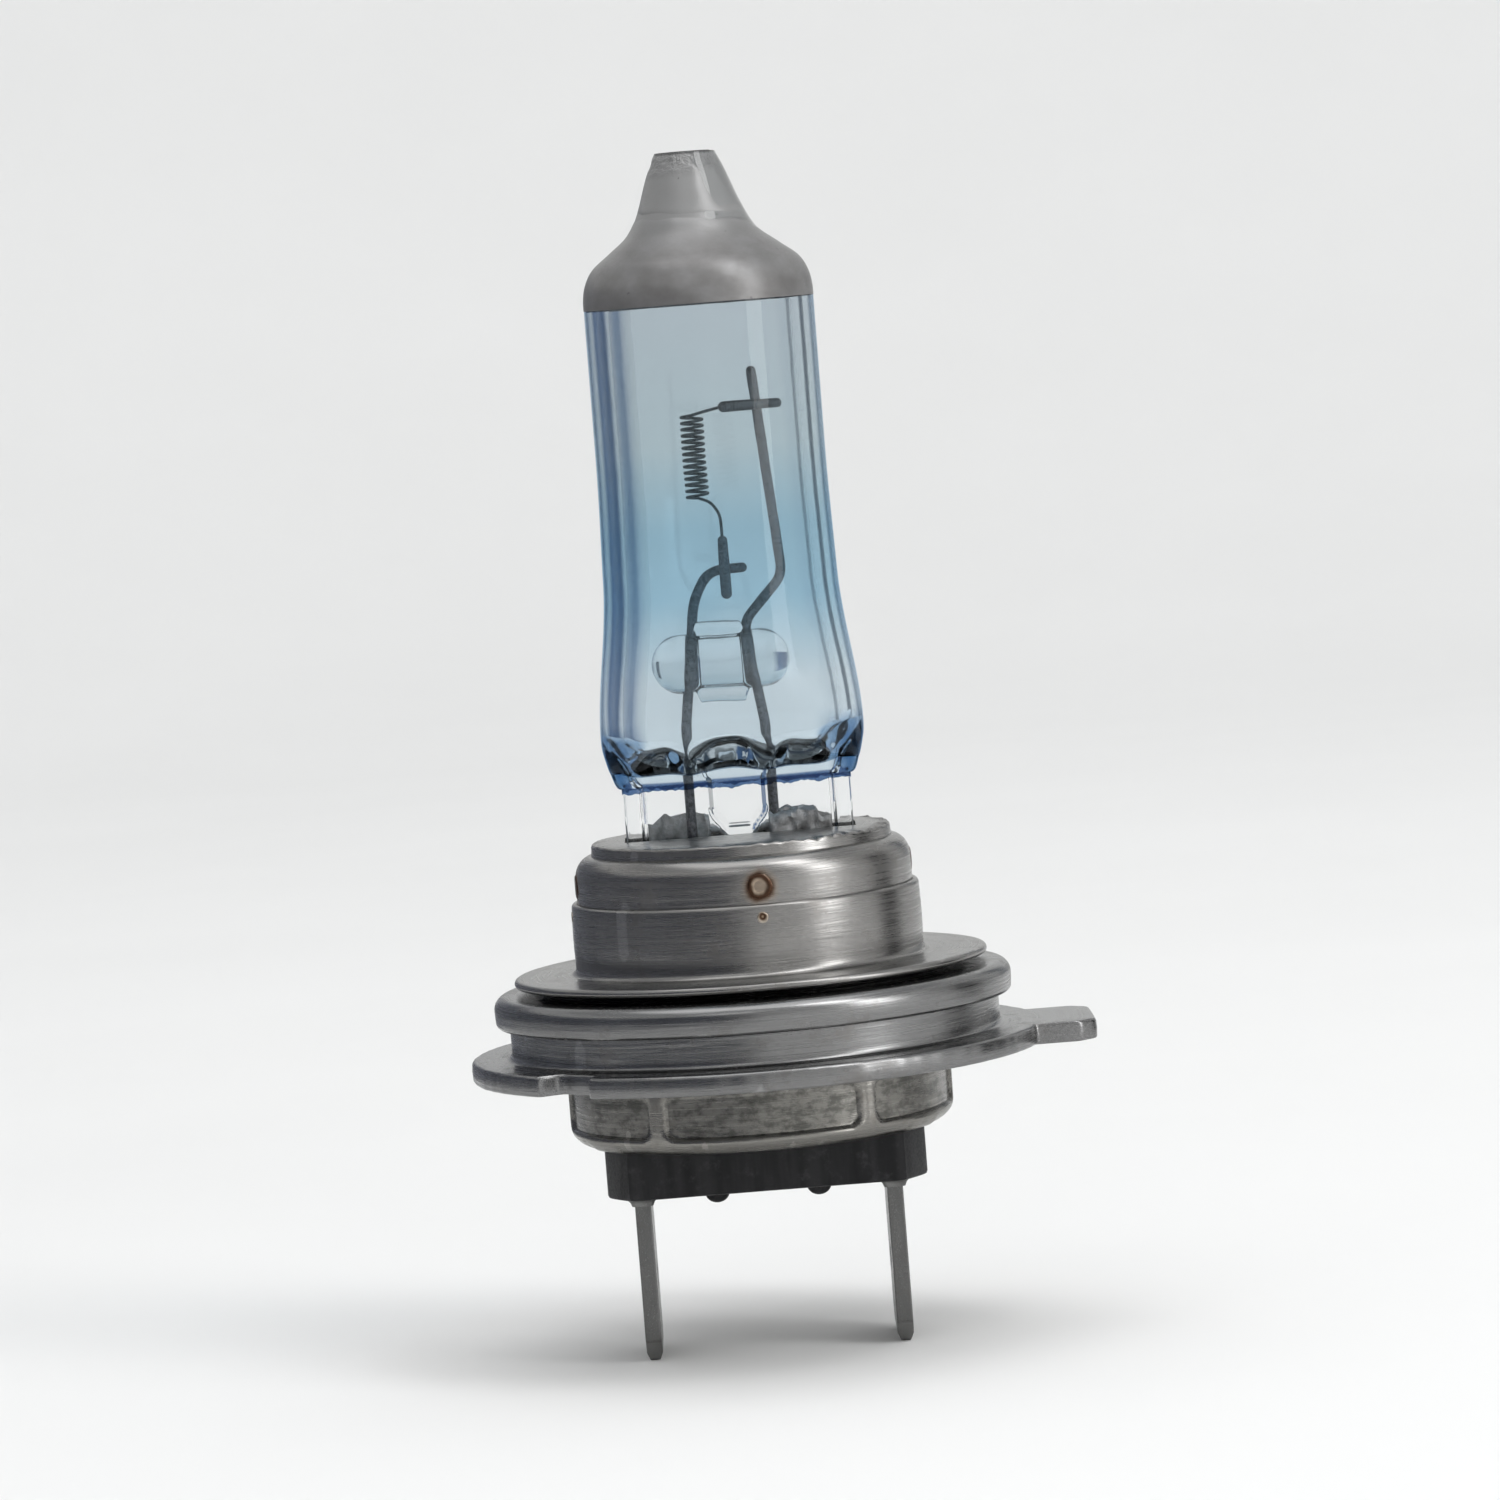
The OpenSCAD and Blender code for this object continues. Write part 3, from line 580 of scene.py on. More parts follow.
def tube_radius(z):
    """Radius of the round part: the cut tip, the neck, the dome and the tube with its flare."""
    if z <= DOME_Z:
        return TUBE_R + 0.15 * smooth((25 - z) / 8) + (SHOULDER_R - TUBE_R - 0.15) * smooth(
            (FLARE_TOP_Z - z) / (FLARE_TOP_Z - SHOULDER_Z))
    return curve_through(TIP_PROFILE, min(z, TIP_Z) - DOME_Z)


def half_width(z):
    """Half the width of the glass along X."""
    if z >= SHOULDER_Z:
        return tube_radius(z)
    drop = min((SHOULDER_Z - z) / (SHOULDER_Z - PINCH_TOP_Z), 1)
    return PINCH_HALF_W + (tube_radius(SHOULDER_Z) - PINCH_HALF_W) * math.sqrt(1 - drop * drop)


def half_depth(z):
    """Half the depth of the glass along Y: the tube narrows to the pinch's thickness."""
    if z >= FLAT_TOP_Z:
        return tube_radius(z)
    drop = min((FLAT_TOP_Z - z) / (FLAT_TOP_Z - SHOULDER_FOOT_Z), 1)
    fullness = 2.6
    swell = (1 - drop ** fullness) ** (1 / fullness)
    return RIB_HALF_T + (tube_radius(FLAT_TOP_Z) - RIB_HALF_T) * swell


def perimeter():
    """(share of half width, side) for each point round the section: the faces, then the ends."""
    points = []
    for side in (-1, 1):
        for i in range(FACE_POINTS + 1):
            points.append((side * lerp(1, -1, i / FACE_POINTS), side))
        for i in range(1, SIDE_POINTS):
            points.append((None, (side, i / SIDE_POINTS)))
    return points


PERIMETER = perimeter()


def pinch_point(share, side, z):
    """A point of the flat pinch's section: a web between edge ribs, and a rib in the middle."""
    corner = 0.3
    if share is None:
        side, t = side
        y = lerp(side, -side, t) * (RIB_HALF_T - corner)
        return -side * PINCH_HALF_W, y
    x = share * PINCH_HALF_W
    edge = smooth((abs(x) - 4.6) / 0.25)
    middle_half = lerp(0.65, 1.3, smooth((z - 6.5) / 1.1))
    middle = smooth((middle_half + 0.1 - abs(x)) / 0.2) * smooth((z - 6.35) / 0.2)
    depth = lerp(WEB_HALF_T, RIB_HALF_T, max(edge, middle))
    inset = max(abs(x) - (PINCH_HALF_W - corner), 0)
    depth -= corner - math.sqrt(max(corner * corner - inset * inset, 0))
    return x, side * depth


def envelope_point(share, side, z, wall=0.0):
    """A point of the glass's outer surface, or of a surface that lies wall inside it."""
    end_angle = math.radians(82)
    if share is None:
        turn, t = side
        angle = lerp(end_angle, math.pi - end_angle, t)
        x, y = -turn * math.sin(angle), turn * math.cos(angle)
    else:
        x, y = math.sin(share * end_angle), side * math.cos(share * end_angle)
    width, depth = half_width(z) - wall, half_depth(z) - wall
    x, y = x * width, y * depth
    flat = smooth((RIBS_TOP_Z - z) / (RIBS_TOP_Z - PINCH_TOP_Z)) if wall == 0 else 0
    if flat > 0:
        px, py = pinch_point(share, side, z)
        if share is not None:
            py = side * (abs(py) + (depth - RIB_HALF_T) * math.sqrt(max(1 - share * share, 0)))
        x, y = lerp(x, px * width / PINCH_HALF_W, flat), lerp(y, py, flat)
    return x, y


def levels():
    """Heights of the rings, close together where the shape turns."""
    top = [TIP_Z - (TIP_Z - DOME_Z) * i / 30 for i in range(30)]
    barrel = [lerp(DOME_Z, FLARE_TOP_Z, i / 16) for i in range(17)]
    flare = [lerp(FLARE_TOP_Z, SHOULDER_Z, i / 20) for i in range(1, 21)]
    shoulder = [lerp(SHOULDER_Z, SHOULDER_FOOT_Z, math.sin(math.pi / 2 * i / 24))
                for i in range(1, 25)]
    shoulder += [lerp(SHOULDER_FOOT_Z, PINCH_TOP_Z, math.sin(math.pi / 2 * i / 8))
                 for i in range(1, 9)]
    flat = [lerp(PINCH_TOP_Z, 5.4, i / 18) for i in range(1, 19)] + [0, PINCH_BOTTOM_Z]
    return top + barrel + flare + shoulder + flat


def cavity_wave(x):
    """Wave of the cavity's floor: a mound between the wires, a dip at each, and rising ends."""
    wires = (-2.3, 1.75)
    middle, reach = sum(wires) / 2, (wires[1] - wires[0]) / 2
    mound = 0.8 * math.cos(min(abs(x - middle) / reach, 1) * math.pi / 2) ** 2
    outside = max(abs(x - middle) - reach, 0)
    ripple = 0.25 * math.sin(outside * 1.9) + 0.09 * outside ** 2
    return mound + ripple + 0.08 * wobble(x, 0, 0, 0.9, 3.0)


def shoulder_lift(x, z):
    """How much higher than z the outer surface of the shoulder lies, which follows the wave."""
    near = smooth((z - PINCH_TOP_Z) / (SHOULDER_FOOT_Z - PINCH_TOP_Z))
    near *= smooth((RIBS_TOP_Z - z) / 1.5)
    return 0.33 * min(cavity_wave(x), 1) * near


def glass_ring(z, wall=0.0):
    return [(*envelope_point(share, side, z, wall), z) for share, side in PERIMETER]


def make_envelope(material):
    """The quartz tube: its outer surface, and the cavity, whose floor is folded and wavy."""
    outer = stacked([[(x, y, z + shoulder_lift(x, z)) for x, y, z in glass_ring(level)]
                     for level in levels()])
    dome_low, dome_top, barrel_low, floor_z = DOME_Z - 0.2, DOME_Z + 1.3, 11.7, 10.05
    rings = []
    for turn in (math.pi / 2 * i / 12 for i in range(1, 13)):
        z, share = lerp(dome_low, dome_top, math.cos(turn)), math.sin(turn)
        rings.append([(x * share, y * share, z) for x, y, _ in glass_ring(dome_low, WALL)])
    rings += [glass_ring(lerp(dome_low, barrel_low, i / 44), WALL) for i in range(1, 45)]
    for turn in (math.pi / 2 * i / 18 for i in range(1, 19)):
        narrow = lerp(1.0, 0.76, 1 - math.cos(turn))
        fold = max(math.cos(turn), 1e-9) ** 0.85
        ring = []
        for x, y, _ in glass_ring(barrel_low, WALL):
            wave = cavity_wave(x * narrow)
            z = lerp(barrel_low, floor_z + 0.5 * wave, math.sin(turn))
            ring.append((x * narrow, y * fold, z + 0.45 * wave * math.sin(2 * turn)))
        rings.append(ring)

    def face_inwards(bm):
        bm.faces.ensure_lookup_table()
        bmesh.ops.reverse_faces(bm, faces=bm.faces[len(outer[1]):])

    add_piece("quartz_envelope", joined(outer, stacked(rings)),
              ["glass_envelope"], material, 60, face_inwards)


def make_film(material):
    """The blue film: a closed skin just off the glass, with an uneven lower edge."""
    layers = []
    heights = [PAINT_EDGE_Z] + [z for z in levels() if PINCH_TOP_Z < z < PAINT_EDGE_Z]
    for lift in (0.05, 0.03):
        layer = []
        for level in heights + [None] * 7:
            ring = []
            for share, side in PERIMETER:
                x, y = envelope_point(share, side, SHOULDER_Z)
                edge = PINCH_TOP_Z - 0.24 + 0.14 * wobble(x, y, 0, 1.1, 1.0)
                edge = min(edge + 0.1 * wobble(x, y, 0, 0.35, 5.0), PINCH_TOP_Z - 0.02)
                below = (len(layer) - len(heights)) / 6
                z = lerp(PINCH_TOP_Z, edge, below) if level is None else level
                x, y = envelope_point(share, side, z)
                grow = 1 + lift / math.hypot(x, y)
                ring.append((x * grow, y * grow, z + shoulder_lift(x, z)))
            layer.append(ring)
        layers.append(layer)
    add_piece("blue_film", stacked(layers[0] + layers[1][::-1], "joined"),
              ["blue_coating"], material, 60)


def tip_point(z, angle, outside):
    """A point of the tip paint's inner skin, or of its outer one: grooved, wavy and chipped."""
    c, s = math.cos(angle), math.sin(angle)
    r = tube_radius(min(z, TIP_Z)) + (0.06 if outside else 0.02)
    if outside:
        r -= 0.07 * math.exp(-((z - GROOVE_Z + 0.15 * c) / 0.16) ** 2)
        r += 0.05 * wobble(c * 3, s * 3, z, 1.3, 2.0) * smooth((z - NECK_Z) / 2)
        r -= 0.06 * math.exp(-((z - TIP_Z + 0.55) / 0.25) ** 2)
        r -= 0.07 * smooth((z - TIP_Z + 0.25) / 0.3) * (1 + wobble(c, s, z, 0.4, 9.0))
    return r * c - TIP_LEAN * smooth((z - NECK_Z) / 7), r * s, z


def make_tip(material):
    """The painted tip: a skin over the dome and neck, with a faint ring and a broken-off end."""
    angles = full_turn(96)
    heights = [lerp(PAINT_EDGE_Z, TIP_Z + 0.04, i / 64) for i in range(65)]
    inner = [[tip_point(z, a, False) for a in angles] for z in heights[:-4]]
    outer = [[tip_point(z, a, True) for a in angles] for z in heights]
    end = []
    for share in (0.93, 0.7, 0.4, 0.12):
        ring = []
        for x, y, z in outer[-1]:
            dip = 0.1 * (1 - share) + 0.07 * wobble(x * share, y * share, 0, 0.5, 4.0) + 0.05
            ring.append(((x + TIP_LEAN) * share - TIP_LEAN, y * share, z - dip))
        end.append(ring)
    add_piece("painted_tip", stacked(inner[::-1] + outer + end), ["tip_coating"],
              material, 35)


# Wires inside the glass

MOUNT_X = (box_mm("bridge_bead")[0].x + box_mm("bridge_bead")[1].x) / 2
COIL_LOW, COIL_HIGH = 22.95, 27.05
LEAD_R = 0.25


def make_leads(material):
    """The two bent wires, from the pinch up past the bead. Both lie in the XZ plane."""
    for name, corners, radius, steps in (
            ("long_lead_wire", ((2.05, 5.3), (2.05, 11.0), (1.5, 14.9), (1.3, 16.7), (3.36, 18.9),
                                (2.95, 24.3), (2.6, 29.0)), 0.6, 6),
            ("short_lead_wire", ((-2.05, 5.3), (-2.05, 11.0), (-1.5, 14.9), (-1.12, 17.9),
                                 (-0.3, 19.35), (1.4, 19.4)), [0, 0.6, 0.6, 0.7, 0.9, 0], 8)):
        path = rounded([(MOUNT_X + x, 0, z) for x, z in corners], radius, steps)
        add_piece("bent_" + name, tube(path, LEAD_R, 24), [name], material)


def make_sleeves(material):
    """Two short sleeves, the upper one lying along X and the lower one upright, crimped thinner."""
    for name, axis, places, crimp, thin in (
            ("upper_leg_sleeve", 0, (0.05, 0.5, 0.55, 0.75, 0.97), 0.3, 0.235),
            ("lower_leg_sleeve", 2, (0.05, 0.35, 0.6, 0.97), 0.9, 0.24)):
        low, high = box_mm(name)
        path = [(low + high) / 2 for _ in places]
        for point, t in zip(path, places):
            point[axis] = lerp(low[axis], high[axis], t)
        shape = tube(path, lambda t: 0.27 if t < crimp else thin, 20)
        add_piece("crimped_" + name, shape, [name], material)


def make_filament(material):
    """The coil and its two legs, as one fine wire."""
    low, high = box_mm("filament")
    coil_r, turns, steps, wire_r = 0.525, 13.5, 26, 0.075
    coil_x = low.x + 0.6
    total = int(turns * steps)
    coil = []
    for i in range(total + 1):
        angle = math.radians(-90) - 2 * math.pi * turns * i / total
        sag = 0.03 * math.sin(math.pi * i / total)
        coil.append(Vector((coil_x + coil_r * math.cos(angle) - sag, coil_r * math.sin(angle),
                            lerp(COIL_HIGH, COIL_LOW, i / total))))
    upper, lower = box_mm("upper_leg_sleeve"), box_mm("lower_leg_sleeve")
    _, sleeve_y, sleeve_z = (upper[0] + upper[1]) / 2
    lower_x = (lower[0].x + lower[1].x) / 2
    upper_leg = rounded([(upper[0].x + 0.4, sleeve_y, sleeve_z),
                         (upper[0].x - 0.1, sleeve_y, sleeve_z - 0.02),
                         (coil_x + 0.5, -coil_r, COIL_HIGH + 0.12), coil[0]], 0.3, 4)
    lower_leg = rounded([coil[-1], (lower_x - 0.45, 0.3, COIL_LOW - 0.22),
                         (lower_x - 0.02, 0.0, COIL_LOW - 0.85),
                         (lower_x, sleeve_y, lower[1].z + 0.3),
                         (lower_x, sleeve_y, lower[1].z - 0.4)], 0.35, 5)
    add_piece("coiled_filament", tube(upper_leg[:-1] + coil + lower_leg[1:], wire_r, 8, False),
              ["filament"], material)


def make_bead(material):
    """A glass rod with domed ends, whose middle is squeezed so that it spreads up and down."""
    low, high = box_mm("bridge_bead")
    centre, reach, radius = (low + high) / 2, (high.x - low.x) / 2, 1.42
    pad_half_w, pad_up = 1.2, (high.z - low.z) / 2 - 0.02
    rings = []
    for i in range(1, 120):
        x = -math.cos(math.pi * i / 120) * reach
        inset = max(abs(x) - (reach - radius), 0)
        r = math.sqrt(max(radius ** 2 - inset ** 2, 1e-4))
        pad = smooth((pad_half_w + 0.15 - abs(x)) / 0.3)
        ring = []
        for angle in full_turn(64):
            c, s = math.cos(angle), math.sin(angle)
            rod = 1 / math.hypot(c / 1.2, s / 1.3)
            plate = ((c / 0.6) ** 4 + (s / pad_up) ** 4) ** -0.25
            out = lerp(r, max(rod, plate), pad)
            bend = 1 + 0.05 * wobble(x, out * c, out * s, 1.5, 7.0)
            ring.append((centre.x + x, out * c * bend, centre.z + out * s * bend))
        rings.append(ring)
    add_piece("glass_bead", stacked(rings), ["bridge_bead"], material, 60)


# Metal base

LAMP_CUP = box_mm("lamp_cup")
CUP_R = LAMP_CUP[1].x
COLLAR_R = box_mm("alignment_collar")[1].x
COLLAR_TOP_Z = box_mm("alignment_collar")[1].z
LIP_R = box_mm("seat_lip")[1].x
LIP_T = -box_mm("seat_lip")[0].z
RING_R = box_mm("prefocus_ring")[1].x
RING_BOTTOM_Z = box_mm("prefocus_ring")[0].z
PLATE_R = box_mm("locating_flange")[1].y
TAB_REACH = box_mm("locating_flange")[1].x
PLATE_BOTTOM_Z = box_mm("locating_flange")[0].z
SHELL_R = box_mm("base_shell")[1].x
SHELL_BOTTOM_Z = box_mm("base_shell")[0].z
BLOCK_HALF_W, BLOCK_HALF_D, BLOCK_R, BLOCK_Z = 7.85, 5.5, 8.7, -10.8
BLADE_TIP_Z = box_mm("left_contact_blade")[0].z
SHEET = 0.4
WELD_ANGLE = math.radians(5 - 90)
WELD_STAINS = ((4.35, 0.5, 0.6), (2.9, 0.17, 0.9))


def make_cup(material):
    low, high = LAMP_CUP[0].z, LAMP_CUP[1].z
    round_w, round_h = 0.9, 1.1
    middle = (CUP_R - round_w, high - round_h)
    section = (straight((CUP_R, low), (CUP_R, middle[1]))
               + arc(middle, (round_w, round_h - 0.03), 0, 84, 14)
               + arc((middle[0] - 0.02, high - 0.13), 0.12, 90, 200, 5)
               + arc(middle, (round_w - SHEET, round_h - SHEET), 88, 0, 8)
               + [(CUP_R - SHEET, low)])
    add_piece("drawn_lamp_cup", turned(section, 300, rippled(0.02, 3.5)),
              ["lamp_cup"], material)


def make_holder(material):
    """The inner cup, with the slot that the pinch stands in and an uneven sheared rim."""
    low, high = box_mm("pinch_holder")
    skirt, neck, wall = high.x, 7.4, SHEET
    shoulder_z = LAMP_CUP[1].z - 1.1
    top = high.z
    section = ([(skirt, low.z), (skirt, shoulder_z)]
               + arc((neck, shoulder_z), (skirt - neck, 0.7), 10, 80, 5)
               + [(neck, top - 0.35)] + arc((neck - 0.16, top - 0.16), 0.16, 0, 90, 5)
               + straight((neck - 0.16, top), (1.0, top), 0.5)
               + [(0.01, top), (0.01, top - wall), (neck - wall, top - wall)]
               + [(neck - wall, 5.4), (skirt - wall, shoulder_z), (skirt - wall, low.z)])

    def shear(p):
        rim = smooth((math.hypot(p.x, p.y) - 6.7) / 0.5) * smooth((p.z - top + 0.4) / 0.3)
        lift = 0.14 * wobble(p.x, p.y, 0, 0.55, 11.0) + 0.07 * wobble(p.x, p.y, 0, 0.2, 3.0)
        lift *= lerp(0.3, 1, smooth((p.x + 1) / 5))
        return p + Vector((0, 0, lift * rim - 0.05 * rim))

    slot = stacked([[(x, y, z) for x, y in rounded_box(PINCH_HALF_W + 0.1, RIB_HALF_T + 0.1, 0.2)]
                    for z in (top - 1, top + 1)])
    add_piece("slotted_holder", combined([turned(section, 300, shear), slot], "DIFFERENCE"),
              ["pinch_holder"], material)


def make_collar(material):
    """The pressed collar and its thin lip, which are one sheet."""
    foot, edge = 0.35, 0.2
    wall = [(COLLAR_R + 0.03 * math.sin(math.pi * t), lerp(foot, COLLAR_TOP_Z - edge, t))
            for t in (i / 12 for i in range(1, 12))]
    section = ([(CUP_R, -LIP_T)] + straight((CUP_R + 0.1, -LIP_T), (LIP_R - LIP_T / 2, -LIP_T))
               + arc((LIP_R - LIP_T / 2, -LIP_T / 2), LIP_T / 2, -90, 90, 8)
               + straight((LIP_R - 0.4, 0), (COLLAR_R + foot, 0))
               + arc((COLLAR_R + foot, foot), foot, 270, 180, 6) + wall
               + arc((COLLAR_R - edge, COLLAR_TOP_Z - edge), edge, 0, 90, 5)
               + [(CUP_R, COLLAR_TOP_Z - 0.06)])

    def press(p):
        reach = math.hypot(p.x, p.y)
        lip = smooth((reach - COLLAR_R - foot) / (LIP_R - COLLAR_R - foot))
        warp = 0.05 * lip * wobble(p.x, p.y, 0, 9, 6.0)
        return rippled(0.02, 3, 4.0)(p) + Vector((0, 0, warp))

    add_piece("pressed_collar", turned(section, 300, press),
              ["alignment_collar", "seat_lip"], material)


def make_ring(material):
    hole_r, land_r, top, under = 8.6, 10.3, -0.8, -1.5
    inner = RING_R - 0.7
    section = ([(hole_r, under), (hole_r, -LIP_T), (land_r - 0.15, -LIP_T)]
               + rounded([(land_r, -LIP_T), (land_r + 0.2, -LIP_T - 0.06), (land_r + 0.4, top),
                          (land_r + 0.7, top)], 0.2, 3)
               + straight((land_r + 0.8, top), (RING_R - 0.65, top))
               + arc((RING_R - 0.65, top - 0.65), 0.65, 90, 0, 10)
               + straight((RING_R, top - 0.75), (RING_R - 0.02, RING_BOTTOM_Z + 0.25), 0.2)
               + arc((RING_R - 0.25, RING_BOTTOM_Z + 0.22), 0.22, -5, -90, 6)
               + [(inner, RING_BOTTOM_Z), (inner, under)])
    add_piece("rolled_prefocus_ring", turned(section, 360, rippled(0.025, 4, 8.0)),
              ["prefocus_ring"], material)


def plate_outline():
    """Outline of the locating plate: a circle with the tab at +X and two notches."""
    half_tab, cut = 3.5, 0.8
    notch_angles, notch_depth, floor_half, mouth_half = (132.5, 227.5), 1.3, 1.2, 1.9
    tab_turn = math.degrees(math.asin(half_tab / PLATE_R))
    notch_turn = math.degrees(math.asin((mouth_half - 0.2) / PLATE_R))
    corners = [(TAB_REACH - cut, -half_tab), (TAB_REACH, cut - half_tab),
               (TAB_REACH, half_tab - cut), (TAB_REACH - cut, half_tab)]
    stops = [tab_turn, notch_angles[0], notch_angles[1], 360 - tab_turn]
    path, radii = list(corners), [0.25] * 4
    for i in range(3):
        start = stops[i] + (notch_turn if i else 0)
        end = stops[i + 1] - (notch_turn if i < 2 else 0)
        turns = arc((0, 0), PLATE_R, start, end, int((end - start) / 2))
        path += turns
        radii += [0.3] + [0] * (len(turns) - 2) + [0.3]
        if i < 2:
            a = math.radians(notch_angles[i])
            for side in (-1, 1):
                u, v = PLATE_R - notch_depth, side * floor_half
                path.append((u * math.cos(a) - v * math.sin(a), u * math.sin(a) + v * math.cos(a)))
                radii.append(0.35)
    curve = rounded(path, radii, 4, closed=True)
    points = []
    for i, p in enumerate(curve):
        points += straight(tuple(p), tuple(curve[(i + 1) % len(curve)]), 0.2)
    return points


def make_plate(material):
    """The locating plate, the neck above it and the web inside it, pressed from one sheet."""
    neck, wall, bevel, cove = RING_R - 0.7, 0.6, 0.1, 0.3
    top, web_low, web_high, web_r, neck_top = PLATE_BOTTOM_Z + 1.0, -4.8, -4.2, 8.6, -1.5
    reach = {math.atan2(y, x): math.hypot(x, y) for x, y in plate_outline()}

    def section(angle):
        r = reach[angle]
        r += 0.05 * wobble(r * math.cos(angle), r * math.sin(angle), 0, 0.8, 2.0)
        return ([(web_r, web_low), (neck - wall, web_low), (neck - 0.3, web_low),
                 (neck - 0.25, PLATE_BOTTOM_Z), (neck + 0.4, PLATE_BOTTOM_Z)]
                + arc((r - bevel, PLATE_BOTTOM_Z + bevel), bevel, -90, 0, 3)
                + [(r + 0.02, lerp(PLATE_BOTTOM_Z, top, 0.5))]
                + arc((r - bevel * 2, top - bevel * 2), bevel * 2, 0, 90, 4)
                + [(lerp(r, neck + cove, 0.5), top)]
                + arc((neck + cove, top + cove), cove, 270, 180, 5)
                + straight((neck, top + cove + 0.1), (neck, neck_top), 0.3)
                + [(neck - 0.02, neck_top), (neck - wall, neck_top), (neck - wall, web_high),
                   (web_r, web_high)])

    add_piece("locating_plate", turned(section, sorted(reach), rippled(0.02, 3, 1.0)),
              ["locating_flange"], material)


def block_reach(angle, grow=0.0):
    """Distance from the axis to the insulator block's outline."""
    c, s = abs(math.cos(angle)), abs(math.sin(angle))
    return min(BLOCK_R, BLOCK_HALF_W / max(c, 1e-6), BLOCK_HALF_D / max(s, 1e-6)) + grow


def panel_depth(p):
    """How far the shell is pressed in at a point: shallow windows with a raised rim round each."""
    panels = ((0, 30), (61, 25), (-61, 25), (180, 30), (119, 25), (-119, 25))
    turn = math.degrees(math.atan2(p.y, p.x)) + 90
    middle_z, half_z, corner = -6.5, 1.1, 0.55
    depth = 0.0
    for place, half in panels:
        across = math.radians((turn - place + 180) % 360 - 180) * SHELL_R
        over = Vector((max(abs(across) - math.radians(half) * SHELL_R + corner, 0),
                       max(abs(p.z - middle_z) - half_z + corner, 0)))
        outside = over.length - corner
        depth += 0.2 * smooth(0.5 - outside / 0.24)
        depth -= 0.035 * math.exp(-((outside - 0.28) / 0.14) ** 2)
    return depth


def make_shell(material):
    wall, corner, top = 0.5, 0.9, -4.82
    inner = SHELL_R - wall

    def section(angle):
        hole = block_reach(angle, 0.02)
        return ([(hole, SHELL_BOTTOM_Z + 0.06), (hole + 0.06, SHELL_BOTTOM_Z)]
                + arc((max(SHELL_R - corner, hole + 0.1), SHELL_BOTTOM_Z + corner),
                      (SHELL_R - max(SHELL_R - corner, hole + 0.1), corner), -90, 0, 10)
                + straight((SHELL_R, SHELL_BOTTOM_Z + corner + 0.1), (SHELL_R, top), 0.09)
                + [(SHELL_R, top), (inner, top), (inner, SHELL_BOTTOM_Z + wall + 0.4),
                   (max(inner - 0.4, hole + 0.05), SHELL_BOTTOM_Z + wall),
                   (hole, SHELL_BOTTOM_Z + wall)])

    def press(p):
        reach = math.hypot(p.x, p.y)
        if reach < inner + 0.1:
            return p
        out = Vector((p.x, p.y, 0)) / reach
        return rippled(0.03, 4, 3.0)(p) - out * panel_depth(p)

    add_piece("pressed_base_shell", turned(section, 600, press),
              ["base_shell"], material)


def make_insulator(material):
    """The block under the shell, the disc on it inside the shell, and three small round nubs."""
    high = box_mm("insulator_block")[1]
    disc_r, disc_low, edge = high.x, -7.9, 0.18
    angles = full_turn(360)
    rings = []
    for z, grow in ((BLOCK_Z, -edge), (BLOCK_Z + 0.05, -0.06), (BLOCK_Z + edge, 0), (disc_low, 0)):
        rings.append([(block_reach(a, grow) * math.cos(a), block_reach(a, grow) * math.sin(a), z)
                      for a in angles])
    for r, z in ((disc_r - 0.5, disc_low + 0.01), (disc_r, disc_low + 0.5), (disc_r, high.z)):
        rings.append([(r * math.cos(a), r * math.sin(a), z) for a in angles])
    shapes = [stacked(rings)]
    dome = [(0.62, 0.3)] + arc((0, -0.1), (0.6, 0.5), 0, -84, 8)
    for x, y in ((2.5, -3.6), (-2.5, 3.6), (-2.5, -3.6)):
        shapes.append(stacked([[(x + r * math.cos(a), y + r * math.sin(a), BLOCK_Z + z)
                                for a in full_turn(30)] for r, z in dome]))
    add_piece("moulded_insulator", combined(shapes), ["insulator_block"],
              material, 30)


def make_blades(material):
    """The two flat blades, each with a catch hole, a thinned tip and a staked collar."""
    half, tail, thin, cut, tail_z, thinned_z = 3.15, 2.1, 0.4, 1.1, -8.6, BLADE_TIP_Z + 0.7
    right_half = [(half - cut, BLADE_TIP_Z), (half, BLADE_TIP_Z + cut), (half, tail_z),
                  (tail, tail_z), (tail, -5)]
    left_half = [(-y, z) for y, z in right_half[::-1]]
    outline = rounded(left_half + right_half, 0.25, 3, closed=True)
    hole = arc((0, -15.2), 0.75, 360, 10, 35)
    planes = [((0, sign * y, 0), (0, 1, 0)) for y in (0.95, 1.3, 2.5, 2.9) for sign in (-1, 1)]
    planes += [((0, 0, z), (0, 0, 1)) for z in (-18.2, -17.8, -16.5, -16.15, -14.25, -13.9, -12)]
    for name, x in (("left_contact_blade", -6.2), ("right_contact_blade", 6.2)):
        flat, flat_faces = slab([outline, hole], 2 * thin, 0.07)
        upright = [(x + p.z, p.x, p.y) for p in flat]
        chisel = [(-0.5, BLADE_TIP_Z - 0.1), (0.5, BLADE_TIP_Z - 0.1), (1.2, thinned_z), (1.2, 0),
                  (-1.2, 0), (-1.2, thinned_z)]
        wedge = stacked([[(x + u * thin, y, z) for u, z in chisel]
                         for y in (-half - 1, half + 1)])
        blade = combined([(upright, flat_faces), wedge], "INTERSECT")
        collar = [[(x + px, py, BLOCK_Z + z) for px, py in rounded_box(half_x, half_y, 0.2, 3)]
                  for half_x, half_y, z in ((1.0, 3.6, 0.05), (0.96, 3.58, -0.08),
                                            (0.74, 3.5, -0.2), (0.6, 3.42, -0.36),
                                            (0.53, 3.38, -0.55))]
        add_piece("staked_" + name, parted(combined([blade, stacked(collar)]), planes),
                  [name], material, 12)


